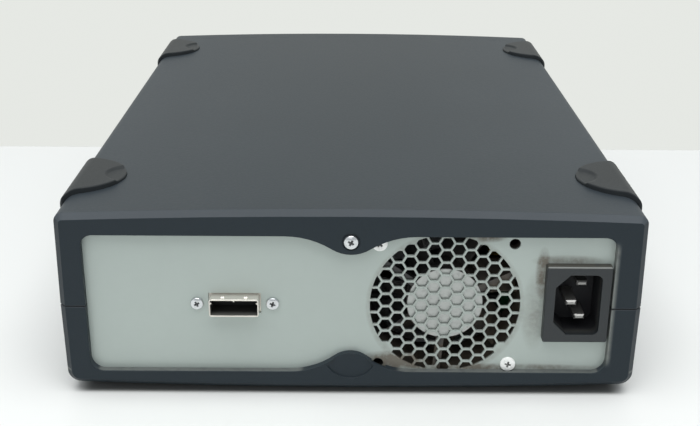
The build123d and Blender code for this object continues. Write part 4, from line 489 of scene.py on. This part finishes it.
def cage_painted_shade(finish):
    """Painted shade inside the port's cage: grey just behind the mouth and nearly black deeper in."""
    x, y, z = finish.axes("XYZ")
    aside = ((x - PORT_X) ** 2 / (PORT_HALF_WIDE - 0.3 * mm) ** 2).ramp(0.98, 1.02)
    upright = ((z - PORT_Z) ** 2 / (PORT_HALF_TALL - 0.3 * mm) ** 2).ramp(0.96, 1.04)
    back = (PORT_FACE - y) / mm
    # Painted shade, from grey at the mouth to nearly black 5 mm in.
    colour = finish.mix(back.ramp(0.5, 5.0), (0.10, 0.102, 0.094), (0.006, 0.006, 0.006))
    return (1.0 - aside) * (1.0 - upright) * back.ramp(0.1, 0.5) * 0.96, colour


def port_dust(finish):
    """Grey dust on the floor of the data port, close to its mouth."""
    y, z = finish.axes("YZ")
    near = ((y - plate_high.y) / mm).ramp(-1.0, 5.0)
    low = ((z - FAN_Z) / mm).ramp(-1.0, -2.6)
    return near * low * finish.noise(1.2 * mm, 4.0, 0.65).ramp(0.3, 0.65) * 0.9, (0.05, 0.052, 0.048)


def inlet_dust_shade_and_highlight(finish):
    """Brown dust on top of the inlet's flange behind a thin painted highlight along its front edge,
    and painted shade that makes the cavity nearly black.
    """
    y, z = finish.axes("YZ")
    above = ((z - inlet_high.z) / mm).ramp(-0.7, -0.3)
    back = (inlet_high.y - y) / mm
    # Painted highlight: a thin light line along the top front edge of the flange.
    line = above * (1.0 - back.ramp(0.3, 0.5))
    # Painted shade, growing to nearly black from 0.6 mm to 6 mm behind the flange's face.
    painted_cavity_shade = back.ramp(0.6, 6.0) * (1.0 - above)
    dust = finish.mix(painted_cavity_shade, (0.075, 0.070, 0.056), (0.002, 0.002, 0.004))
    settled = above * finish.noise(1.5 * mm, 4.0).ramp(0.2, 0.5) * 0.7
    return (settled + painted_cavity_shade * 0.9).most(line).least(1.0), finish.mix(line, dust, (0.20, 0.21, 0.20))


insert_black = moulded(
    "port_insert", grey(20), 0.5, grain=0.3 * mm, pits=0.02 * mm, edge=0.1 * mm, dusty=port_dust
)
fan_black = moulded(
    "fan_black", grey(44), 0.36, grain=0.3 * mm, pits=0.02 * mm, edge=0.25 * mm, dusty=fan_dust
)
inlet_black = moulded(
    "inlet_black", grey(36, (0.8, 1.02, 1.15)), 0.4, grain=0.4 * mm, pits=0.03 * mm, dusty=inlet_dust_shade_and_highlight
)
cage_metal = plated("cage_metal", grey(212, (1.04, 1.0, 0.91)), 0.3, 0.6, WITHOUT_LINES, cage_painted_shade)
print("dirty", insert_black.name, fan_black.name, inlet_black.name, cage_metal.name)

# %% [markdown]
# The rest are small parts, seen through the grille, the vents or the open door: the fan's foil
# disc, copper windings, green boards with a clear coat, white acetal gears and the sleeves of
# the capacitors. Plain colours would do from afar, but each still gets its own grain and wear, so
# that none of them looks flat.


# %% Small parts
def plain_plastic(name, colour, roughness, lumps=1.2 * mm, **extra):
    """Even plastic or lacquer: soft mottling, fine bump and worn edges."""
    finish = Finish(name, colour, roughness, **extra)
    mottle = finish.noise(lumps, 3.0)
    cloud = finish.noise(14 * mm, 2.0)
    worn = finish.edge_wear(0.2 * mm)
    tone = (0.5 + (mottle - 0.5) * 0.5 + (cloud - 0.5) * 0.5 + worn * 0.3).least(1.0).most(0.0)
    finish.set("Base Color", finish.mix(tone, scaled(colour, 0.8), scaled(colour, 1.2, 0.01)))
    finish.set("Roughness", roughness + (mottle - 0.5) * 0.12)
    finish.relief(mottle, 0.02 * mm, 0.15 * mm)
    return finish.material


def foil(name, colour):
    """Brushed foil disc: lines that run across it, fine in the bump and faint in the colour."""
    finish = Finish(name, colour, 0.33, 0.85)
    lines = finish.noise(0.5 * mm, 3.0, stretch=(0.06, 1.0, 1.0))
    smear = finish.noise(5 * mm, 3.0)
    darkening = finish.noise(1.1 * mm, 4.0, 0.7).ramp(0.5, 0.75) * 0.45
    shine = finish.mix(lines * 0.6 + smear * 0.4, scaled(colour, 0.8), colour)
    finish.set("Base Color", finish.mix(darkening, shine, scaled(colour, 0.35)))
    finish.set("Roughness", 0.28 + smear * 0.2)
    finish.relief(lines, 0.01 * mm, 0.1 * mm)
    return finish.material


label_foil = foil("label_foil", grey(186, (0.97, 1.0, 0.97)))
copper = plain_plastic("copper_winding", (0.45, 0.17, 0.07), 0.35, 0.4 * mm, Metallic=0.8)
board_green = plain_plastic("board_green", (0.015, 0.12, 0.055), 0.42, 2.5 * mm, Coat_Weight=0.4)
acetal = plain_plastic("gear_acetal", (0.72, 0.71, 0.66), 0.42)
tape_yellow = plain_plastic("tape_yellow", (0.62, 0.42, 0.05), 0.35, 3 * mm)
capacitor_film = plain_plastic("capacitor_film", (0.02, 0.03, 0.05), 0.25, 4 * mm, Coat_Weight=0.5)
switch_body = plain_plastic("switch_body", grey(40), 0.5)
light_green = plain_plastic("light_green", (0.10, 0.34, 0.12), 0.12, 2 * mm, Coat_Weight=0.8)
print("finishes so far", len(bpy.data.materials))

# %% [markdown]
# The record names a slot for every node, and each slot has its finish. The plate, the pins and the
# cage of the port have one of their own: the plate's dust and the cage's painted shade are measured
# from their own places, and the pins are a darker, rougher metal than the nickel.

# %% Finish of every CAD node
FINISHES = {
    "case_plastic": case_plastic,
    "pad_rubber": pad_rubber,
    "plate_steel": tray_steel,
    "screw_steel": screw_steel,
    "screw_black": screw_black,
    "fan_black": fan_black,
    "label_film": label_foil,
    "copper": copper,
    "inlet_black": inlet_black,
    "nickel": nickel,
    "port_insert": insert_black,
    "button_grey": button_grey,
    "light_green": light_green,
    "board_green": board_green,
    "switch_body": switch_body,
    "cast_metal": cast_metal,
    "cover_steel": cover_steel,
    "drive_plastic": drive_plastic,
    "gear_acetal": acetal,
    "motor_steel": motor_steel,
    "roller_metal": roller_metal,
    "tape_yellow": tape_yellow,
    "capacitor_film": capacitor_film,
    "lead_grey": lead_grey,
}
slot_of = {part["node"]: part["material_slot"] for part in frame["record"]["subparts"]}
OWN_FINISH = {"rear_plate": plate_steel, "inlet_pins": pin_metal, "port_cage": cage_metal}
for name, piece in nodes.items():
    piece.data.materials.clear()
    piece.data.materials.append(OWN_FINISH.get(name) or FINISHES[slot_of[name]])
    piece.data.polygons.foreach_set("use_smooth", [False] * len(piece.data.polygons))
print("dressed", len(nodes), "nodes")

# %% [markdown]
# The soft pads and the small screws are new pieces, because their forms are too fine or too soft
# for flat facets. They could be sculpted, or cut from blocks with modifiers, but a formula follows
# the measured sizes. Each is a stack of rings of points worked out with numpy, skinned ring to ring
# and closed at both ends. A stack like that can be wound either way round, so its volume is
# measured, and a negative volume turns all faces.


# %% Skins over rings
def outward(points, groups):
    """Groups of faces, all turned if they look inwards: each triangle and the origin make a
    tetrahedron, and the sum of their signed volumes is the volume of the skin."""
    triangles = [group[:, [0, i, i + 1]] for group in groups for i in range(1, group.shape[1] - 1)]
    corners = points[np.concatenate(triangles)]
    volume = np.einsum("ij,ij->", corners[:, 0], np.cross(corners[:, 1], corners[:, 2]))
    return groups if volume > 0 else [group[:, ::-1] for group in groups]


def skinned(rings, looped=False):
    """Rings of points (count, around, 3), joined ring to ring. The last ring joins the first where
    the stack is looped, and otherwise each end closes on its middle."""
    count, around = rings.shape[:2]
    points = rings.reshape(-1, 3)
    here = np.arange(count * around).reshape(count, around)
    there = np.roll(here, -1, axis=1)
    sides = np.stack([here, there, np.roll(there, -1, axis=0), np.roll(here, -1, axis=0)], -1)
    if looped:
        return points, outward(points, [sides.reshape(-1, 4)])
    points = np.concatenate([points, rings[[0, -1]].mean(axis=1)])
    first = np.stack([np.full(around, count * around), there[0], here[0]], -1)
    last = np.stack([np.full(around, count * around + 1), here[-1], there[-1]], -1)
    return points, outward(points, [sides[:-1].reshape(-1, 4), first, last])


def new_piece(name, solids, finish, sharp, darkening=None):
    """One object from several closed skins, smooth up to edges sharper than the angle. A value for
    each point, where given, is kept as an attribute for the finish to read; on the screws it marks
    painted shade in the recess."""
    points, faces, start = [], [], 0
    for skin_points, skin_faces in solids:
        for group in skin_faces:
            faces.extend((group + start).tolist())
        points.append(skin_points)
        start += len(skin_points)
    mesh = bpy.data.meshes.new(name)
    mesh.from_pydata(np.concatenate(points).tolist(), [], faces)
    mesh.polygons.foreach_set("use_smooth", [True] * len(mesh.polygons))
    mesh.set_sharp_from_angle(angle=math.radians(sharp))
    mesh.materials.append(finish)
    if darkening is not None:
        mesh.attributes.new("darkening", "FLOAT", "POINT").data.foreach_set("value", darkening)
    made = bpy.data.objects.new(name, mesh)
    bpy.context.scene.collection.objects.link(made)
    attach(made, "case")
    print(name, len(mesh.polygons), "faces")
    return made


def smooth_step(value):
    """0 below 0, 1 above 1, and a smooth cubic between."""
    value = np.clip(value, 0.0, 1.0)
    return value * value * (3.0 - 2.0 * value)


print("smooth step at a quarter", smooth_step(0.25))

# %% [markdown]
# A pad laps over the edge of the case. Its plan is half an ellipse that reaches in over the top,
# its outer edge is well rounded where hands meet it, and a lip hangs down the side and runs on a
# little towards the rear. At the tip a shallow round dish is pressed into it. A box with a Bevel
# modifier would have none of that, so the rings start in the middle of the top, widen to the
# outline, turn over the rounded edge, drop down the wall and close below.

# %% Plan and top of a pad
PAD_REACH, PAD_HALF = 21.0 * mm, 19.0 * mm
PAD_CORNER, TIP_ROUND = 1.4 * mm, 0.5 * mm
ROLL_WIDE, ROLL_TALL = 5.0 * mm, 5.4 * mm
LIP_THICK = 1.3 * mm
FLARE, FLARE_WIDE = 4.5 * mm, 7.0 * mm
DISH_RADIUS, DISH_DEEP, DISH_SOFT = 8.8 * mm, 0.8 * mm, 1.1 * mm
DISH_OUT = 1.0 * mm


def pad_outline():
    """Plan of a pad: an ellipse x = -A cos u, y = B sin u, then at each end a small arc into the
    straight outer edge at x = 0. Returns points and outward normals."""
    turn = math.acos(PAD_CORNER / PAD_REACH)
    u = np.linspace(-turn, turn, 80)
    ellipse = np.stack([-PAD_REACH * np.cos(u), PAD_HALF * np.sin(u)], -1)
    leaning = np.stack([-np.cos(u) / PAD_REACH, np.sin(u) / PAD_HALF], -1)
    leaning /= np.linalg.norm(leaning, axis=1, keepdims=True)
    inner = PAD_HALF * math.sin(turn) - PAD_CORNER
    angles = np.linspace(math.pi / 2, 0.0, 10)[1:]
    arc_normal = np.stack([np.cos(angles), np.sin(angles)], -1)
    arc = arc_normal * PAD_CORNER + np.array([-PAD_CORNER, inner])
    flip = np.array([1.0, -1.0])
    y = np.linspace(inner, -inner, 30)[1:-1]
    straight = np.stack([0.0 * y, y], -1)
    straight_normal = np.stack([0.0 * y + 1.0, 0.0 * y], -1)
    points = np.concatenate([ellipse, arc, straight, (arc * flip)[::-1]])
    normals = np.concatenate([leaning, arc_normal, straight_normal, (arc_normal * flip)[::-1]])
    return points, normals


def sunken(flat):
    """Depth below the top at points of the plan: the dish, full inside its circle and easing out
    at the rim, and the quarter ellipse that rolls the outer edge down, 0 until ROLL_WIDE from it."""
    off = np.linalg.norm(flat - np.array([-PAD_REACH - DISH_OUT, 0.0]), axis=-1)
    dish = DISH_DEEP * smooth_step((DISH_RADIUS - off) / DISH_SOFT + 0.3)
    share = np.clip(flat[..., 0] / ROLL_WIDE + 1.0, 0.0, 1.0)
    return (dish + ROLL_TALL * (1.0 - np.sqrt(1.0 - share**2)))[..., None]


print("points round a pad", len(pad_outline()[0]))


# %% Pads and feet
def pad(side, station, face, seat, lip, shoulder):
    """Closed pad whose outside lies at height face, sunk to seat, with its lip down to lip; below
    the shoulder of the case the wall follows the rounded edge down. Height is face less the drop,
    a sum of the sunken top, a quarter circle at the tip and even steps down the wall."""
    plan, normal = pad_outline()
    sunk, hung = abs(face - seat), abs(face - lip)
    middle = np.array([-0.42 * PAD_REACH, 0.0])
    share = np.sin(np.linspace(0.03, math.pi / 2, 44))[:, None, None]
    top = middle + share * (plan - normal * TIP_ROUND - middle)
    angle = np.linspace(0.0, math.pi / 2, 9)[1:, None, None]
    bend = plan - normal * TIP_ROUND * (1.0 - np.sin(angle))
    edge = sunken(plan) + TIP_ROUND
    bottom = np.interp(plan[:, 0], [-shoulder, -1.35 * mm, -1.25 * mm], [sunk, sunk + 3.2 * mm, hung])
    step = np.linspace(0.0, 1.0, 6)[1:, None, None]
    wall = np.repeat(plan[None], len(step), axis=0)
    inside = plan - normal * LIP_THICK
    flat = np.concatenate([top, bend, wall, inside[None], inside[None]])
    drop = np.concatenate([
        sunken(top),
        sunken(bend) + TIP_ROUND * (1.0 - np.cos(angle)),
        edge + (bottom[:, None] - edge) * step,
        bottom[None, :, None],
        np.full((1, len(plan), 1), sunk - 0.3 * mm),
    ])
    along, across = flat[..., 1:], flat[..., :1]
    pull = smooth_step(along / PAD_HALF) * smooth_step((across + FLARE_WIDE) / FLARE_WIDE)
    flat = np.concatenate([across, along + FLARE * pull], -1)
    level = face - np.sign(face - seat) * drop
    x = side * (cad_high.x + flat[..., :1])
    return skinned(np.concatenate([x, station + flat[..., 1:], level], -1))


def four_pads(name, node, thick, shoulder, upward):
    """The pads of one level, placed by the box of the solid that they stand for."""
    low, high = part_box(node)
    face, lip = (high.z, low.z) if upward else (low.z, high.z)
    seat = face - thick if upward else face + thick
    stations = (high.y - PAD_HALF, low.y + PAD_HALF)
    solids = [pad(side, y, face, seat, lip, shoulder) for side in (-1, 1) for y in stations]
    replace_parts(new_piece(name, solids, pad_rubber, 60.0), node)


four_pads("soft_pads", "top_pads", 3.4 * mm, 4.6 * mm, True)
four_pads("soft_feet", "bottom_feet", 5.2 * mm, 6.2 * mm, False)

# %% [markdown]
# The screws that show on the rear are pan heads with a cross recess, two of them whitish and the
# others bright zinc. Painted shade darkens the recess, and noise can't know where that is. So the
# shape itself tells the finish, through a number kept at each point.


# %% Finish of the screws
def screw_finish(name, colour, roughness, metallic):
    """Plated screw: faint mottling, and painted shade in the recess, where the attribute kept at each point
    says.
    """
    finish = Finish(name, colour, roughness, metallic)
    darkening = finish.node("ShaderNodeAttribute", {"attribute_name": "darkening"}, out="Fac")
    spots = finish.noise(0.5 * mm, 3.0)
    # Painted shade in the recess: near black, rougher and less metallic, broken a little by spots.
    overlay = (darkening * (spots.ramp(0.2, 0.6) * 0.4 + 0.6)).least(1.0)
    plain = finish.mix(spots.ramp(0.45, 0.75) * 0.5, colour, scaled(colour, 0.7))
    finish.set("Base Color", finish.mix(overlay, plain, (0.012, 0.012, 0.012)))
    finish.set("Roughness", roughness + overlay * 0.3 + (spots - 0.5) * 0.12)
    finish.set("Metallic", metallic - overlay * metallic)
    finish.relief(spots, 0.01 * mm, 0.08 * mm)
    return finish.material


zinc_screw = screw_finish("zinc_screw", grey(214, (0.97, 1.0, 1.02)), 0.16, 0.95)
white_screw = screw_finish("white_screw", grey(240, (0.99, 1.0, 0.98)), 0.4, 0.15)
print("screws", zinc_screw.name, white_screw.name)

# %% [markdown]
# A Boolean cut would make the recess, but it leaves ragged faces on a head this small. A ring model
# suits it better: the height over the seat is a function of radius and angle, a flat dome less the
# recess, and the shank goes on as rings whose radius swells and shrinks with the thread's pitch.


# %% Screws of the rear
def cross_recess(a, b, head, high):
    """Depth of the cross at a, b across the head: two crossing grooves, deepest in the middle."""
    wide, long, soft = 0.062 * head, 0.21 * head, 0.12 * mm
    off_a, off_b = np.abs(a), np.abs(b)
    along = np.clip((wide - off_b) / soft + 0.5, 0, 1) * np.clip((long - off_a) / soft + 0.5, 0, 1)
    other = np.clip((wide - off_a) / soft + 0.5, 0, 1) * np.clip((long - off_b) / soft + 0.5, 0, 1)
    fall = 1.0 - 0.45 * np.hypot(a, b) / long
    return 0.62 * high * np.maximum(along, other) * np.clip(fall, 0.2, 1.0)


def pan_screw(x, z, seat, head, high, shank, length, turn):
    """Closed screw looking to the rear: domed head with its recess, rounded edge and thread."""
    around = np.linspace(0.0, 2 * math.pi, 72, endpoint=False)
    brow, dome = 0.86 * head / 2, 0.22 * high
    radius = np.linspace(0.01, 1.0, 26)[:, None] * brow
    a = radius * np.cos(around - turn)
    b = radius * np.sin(around - turn)
    hollow = cross_recess(a, b, head, high)
    top = high - dome * (radius / brow) ** 2 - hollow
    angle = np.linspace(0.0, math.pi / 2, 8)[1:, None]
    edge_radius = brow + (head / 2 - brow) * np.sin(angle) + 0.0 * around
    edge_top = (high - dome) * (0.45 + 0.55 * np.cos(angle)) + 0.0 * around
    pitch = 0.22 * shank
    depth = np.arange(0.0, length, pitch / 5)[:, None]
    wave = 0.5 + 0.5 * np.cos(around + 2 * math.pi * depth / pitch)
    thread = shank / 2 - 0.09 * shank * wave
    rim = np.full((1, len(around)), head / 2)
    radii = np.concatenate([radius + 0.0 * around, edge_radius, rim, thread, 0.6 * thread[-1:]])
    heights = np.concatenate([top, edge_top, 0.0 * rim, -depth + 0.0 * around, rim * 0.0 - length])
    rings = np.stack([x + radii * np.cos(around), seat + heights, z + radii * np.sin(around)], -1)
    # Painted shade: full inside the cross recess, fading at its shallow ends, none elsewhere on the screw.
    darkening = np.zeros(rings.shape[:2])
    darkening[: len(hollow)] = smooth_step(hollow / (0.45 * high))
    return skinned(rings), np.append(darkening.ravel(), (1.0, 0.0))


def rear_screws(name, node, head, high, shank, turns, finish):
    """Screws in the place of a node, each turned its own way: one at the low end of the node's
    box, and where there are two, the other at its high end."""
    low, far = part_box(node)
    seat = far.y - high
    places = [(low.x + head / 2, low.z + head / 2), (far.x - head / 2, far.z - head / 2)]
    length = seat - low.y - 0.05 * mm
    made = [pan_screw(x, z, seat, head, high, shank, length, turn) for (x, z), turn in zip(places, turns)]
    solids, darkening = [skin for skin, _ in made], np.concatenate([overlay for _, overlay in made])
    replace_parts(new_piece(name, solids, finish, 50.0, darkening), node)


rear_screws("tongue_screw", "plate_screw", 5.5 * mm, 1.8 * mm, 2.9 * mm, (0.5,), zinc_screw)
rear_screws("data_port_screws", "port_screws", 5.0 * mm, 1.5 * mm, 2.9 * mm, (0.35, 1.1), zinc_screw)
rear_screws("fan_plate_screws", "fan_screws", 5.9 * mm, 1.1 * mm, 4.1 * mm, (0.2, 0.7), white_screw)

# %% [markdown]
# The cage of the data port is folded from thin sheet, and its mouth is rolled to a bright lip. Two
# springs rise through slots in its top, and three small dimples stand into its mouth, where the
# plug is gripped. The frame's cage is a plain folded box, and a Bevel on it would round every edge
# alike, so these are pieces of their own. The lip is a small circle carried round a rounded
# rectangle, a dimple is a dome of rings, and a spring is a strip bent along a sine wave.


# %% Springs and dimples of the data port
def dimple(middle, out, size, rise):
    """Half an ellipsoid on the skin at middle, standing out by rise along the unit vector out."""
    around = np.linspace(0.0, 2 * math.pi, 20, endpoint=False)
    lift = np.linspace(0.05, math.pi / 2, 7)[:, None, None]
    out = np.array(out)
    first = np.array([0.0, 1.0, 0.0])
    second = np.cross(out, first)
    ring = np.cos(around)[:, None] * first + np.sin(around)[:, None] * second
    dome = np.array(middle) + size * np.sin(lift) * ring + rise * np.cos(lift) * out
    foot = np.array(middle) + size * ring[None] - 0.15 * mm * out
    return skinned(np.concatenate([dome, foot]))


def lip_ring(half_wide, half_tall, corner, radius, y):
    """Closed ring: a circle of this radius carried round a rounded rectangle at depth y."""
    quarter = np.linspace(0.0, math.pi / 2, 7)
    turn = np.concatenate([quarter + side * math.pi / 2 for side in range(4)])
    signs = np.repeat([(1, 1), (-1, 1), (-1, -1), (1, -1)], len(quarter), axis=0)
    heart = signs * np.array([half_wide - corner, half_tall - corner])
    out = np.stack([np.cos(turn), np.sin(turn)], -1)
    path = heart + corner * out
    angle = np.linspace(0.0, 2 * math.pi, 12, endpoint=False)
    flat = path[:, None] + radius * np.cos(angle)[None, :, None] * out[:, None]
    depth = y + radius * np.sin(angle)[None, :] + 0.0 * flat[..., 0]
    return skinned(np.stack([PORT_X + flat[..., 0], depth, PORT_Z + flat[..., 1]], -1), looped=True)


def spring(x, back, front, level):
    """Strip 1.3 mm wide along one wave of a sine: it rises a little over the level in its rear
    half and dips far below it in front."""
    along = np.linspace(0.0, 1.0, 24)[:, None]
    lift = np.sin(2 * math.pi * along) * np.where(along < 0.5, 0.07, 0.45) * mm
    half_wide, half_thick = 0.65 * mm, 0.11 * mm
    across = np.array([[-1.0, 1.0, 1.0, -1.0]]) * half_wide + 0.0 * along
    y = back + (front - back) * along + 0.0 * across
    z = level + lift + np.array([[-1.0, -1.0, 1.0, 1.0]]) * half_thick
    return skinned(np.stack([x + across, y, z], -1))


print("faces of a dimple", sum(len(group) for group in dimple((0, 0, 0), (0, 0, 1), mm, mm)[1]))

# %% Fittings of the data port
skin_top = PORT_Z + PORT_HALF_TALL
springs = [
    spring(PORT_X + side * 4.35 * mm, PORT_FACE - 3.9 * mm, PORT_FACE - 1.3 * mm, skin_top - 0.05 * mm)
    for side in (-1, 1)
]
grip_y, grip = PORT_FACE - 0.47 * mm, 0.42 * mm
dimples = [dimple((PORT_X, grip_y, skin_top - PORT_SKIN), (0, 0, -1), grip, 0.75 * mm)]
for side in (-1, 1):
    wall_x = PORT_X + side * (PORT_HALF_WIDE - PORT_SKIN)
    dimples.append(dimple((wall_x, grip_y, PORT_Z + 1.8 * mm), (-side, 0, 0), grip, 0.7 * mm))
LIP_RADIUS = 0.28 * mm
lip = lip_ring(
    PORT_HALF_WIDE - LIP_RADIUS + 0.1 * mm,
    PORT_HALF_TALL - LIP_RADIUS + 0.1 * mm,
    0.7 * mm,
    LIP_RADIUS,
    PORT_FACE - LIP_RADIUS,
)
new_piece("port_springs", springs + dimples + [lip], nickel, 45.0)

# %% [markdown]
# The four corners of the rear window are rounder than the shells' own cuts. The shells belong to
# the frame and stay as they are, so a small web fills each corner: its section lies between the
# corner and an arc of the larger radius, and is carried through the thickness of the rear wall.

# %% Webs in the corners of the window
HIGH_ROUND, LOW_ROUND, REAR_WALL, BITE = 4.6 * mm, 5.4 * mm, 3.0 * mm, 0.15 * mm


def corner_web(side, low):
    """Closed web from an arc that touches both edges of the window out to the corner, BITE deep in
    the shell: thin sections fanned round the middle of the arc."""
    size = LOW_ROUND if low else HIGH_ROUND
    angle = np.linspace(0.0, math.pi / 2, 17)
    aim = np.stack([np.cos(angle), np.sin(angle)], -1)
    reach = (size + BITE) / aim.max(axis=1, keepdims=True)
    quarter = np.stack([aim * size, aim * reach, aim * reach, aim * size], 1) - size
    quarter = quarter * np.array([side, -1.0 if low else 1.0])
    quarter += np.array([WINDOW_SHIFT + side * WINDOW_HALF, WINDOW_LOW if low else WINDOW_HIGH])
    front, back = REAR - 0.02 * mm, REAR - REAR_WALL - 0.2 * mm
    depth = np.array([front, front, back, back]) + 0.0 * quarter[..., 0]
    return skinned(np.stack([quarter[..., 0], depth, quarter[..., 1]], -1))


webs = [corner_web(side, low) for side in (-1, 1) for low in (True, False)]
new_piece("window_webs", webs, case_plastic, 30.0)

# %% [markdown]
# The photograph was taken on a white table. Under the case, where hardly any light gets in, the
# table reads nearly black. The feet are low and the lamps wide, so the shadow alone stays too
# pale there, and a painted shadow, a dark patch in the table's colour under the case, darkens it.


# %% Table
def sheet(name, corners, material):
    """Four corners as one face that isn't part of the object."""
    mesh = bpy.data.meshes.new(name)
    mesh.from_pydata([tuple(corner) for corner in corners], [], [(0, 1, 2, 3)])
    mesh.materials.append(material)
    made = bpy.data.objects.new(name, mesh)
    bpy.context.scene.collection.objects.link(made)
    return made


TABLE_WHITE, TABLE_PAINTED_SHADOW = (0.80, 0.81, 0.795), (0.03, 0.035, 0.035)
table_finish = Finish("table", TABLE_WHITE, 0.55)
spot_x, spot_y = table_finish.axes("XY")
aside = ((spot_x**2) ** 0.5 - shell_high.x) / mm
beyond = (((spot_y - (REAR + cad_low.y) / 2) ** 2) ** 0.5 - (REAR - cad_low.y) / 2) / mm
# Painted shadow: the table darkened under the case, fading out just inside its edges.
painted_shadow = (1.0 - aside.ramp(-9.0, -1.0)) * (1.0 - beyond.ramp(-3.2, -0.6))
table_finish.set("Base Color", table_finish.mix(painted_shadow * 0.8, TABLE_WHITE, TABLE_PAINTED_SHADOW))
sheet("table", [(-3, -3, 0), (3, -3, 0), (3, 3, 0), (-3, 3, 0)], table_finish.material)
print("half width of the dark patch in mm", round(shell_high.x / mm, 1))

# %% [markdown]
# A pale wall nearly touches the front of the drive. A lit wall would change with every lamp and
# hide the drive from its front, so this one is a sheet that glows evenly and only shows from its
# own side. It takes no part in the lighting, but reflections see it, and that is what lightens
# the top of the case, which is looked along at a low angle.

# %% Wall
wall_finish = Finish("wall", (0.78, 0.80, 0.77), 0.9)
behind = wall_finish.node("ShaderNodeNewGeometry", {}, out="Backfacing")
paint = wall_finish.node("ShaderNodeEmission", {}, Color=(0.79, 0.81, 0.775, 1.0), Strength=1.0)
clear = wall_finish.node("ShaderNodeBsdfTransparent", {})
seen = wall_finish.node("ShaderNodeMixShader", {}, behind, paint, clear)
output = wall_finish.tree.nodes["Material Output"]
wall_finish.tree.links.new(seen.socket, output.inputs["Surface"])
WALL_Y = cad_low.y - 3.0 * mm
wall_corners = [(3, WALL_Y, 0), (-3, WALL_Y, 0), (-3, WALL_Y, 3), (3, WALL_Y, 3)]
wall = sheet("wall", wall_corners, wall_finish.material)
for kind in ("diffuse", "transmission", "volume_scatter", "shadow"):
    setattr(wall, f"visible_{kind}", False)
print("wall at mm", round(WALL_Y / mm, 1))

# %% [markdown]
# The light in the photograph is soft, from windows and a ceiling. One wide lamp hangs over the
# table behind the drive, and two weaker ones stand beside the camera and in front of the drive.
# A pale even world fills the shadows. Small or strong lamps would draw hard shadows and clip the
# table to white.

# %% Room and lamps
world = bpy.data.worlds.new("room")
world.use_nodes = True
room = world.node_tree.nodes["Background"]
room.inputs["Color"].default_value = (0.93, 0.97, 1.0, 1.0)
room.inputs["Strength"].default_value = 0.55
bpy.context.scene.world = world


def lamp(name, place, aim, size, power):
    """Rectangular soft lamp at place, facing aim, with its power in watts."""
    light = bpy.data.lights.new(name, "AREA")
    light.shape = "RECTANGLE"
    light.size, light.size_y = size
    light.energy = power
    made = bpy.data.objects.new(name, light)
    made.location = place
    made.rotation_euler = (Vector(aim) - Vector(place)).to_track_quat("-Z", "Y").to_euler()
    bpy.context.scene.collection.objects.link(made)
    print(name, power, "W")


lamp("ceiling_lamp", (0.0, 0.45, 1.2), (0.0, 0.1, 0.0), (1.25, 1.0), 14.0)
lamp("room_lamp", (0.3, 1.3, 0.6), (0.0, 0.1, 0.03), (1.0, 0.8), 2.0)
lamp("front_lamp", (0.0, -1.3, 0.9), (0.0, -0.1, 0.03), (1.6, 0.9), 0.8)

bpy.context.scene.view_settings.view_transform = "Standard"

# %% [markdown]
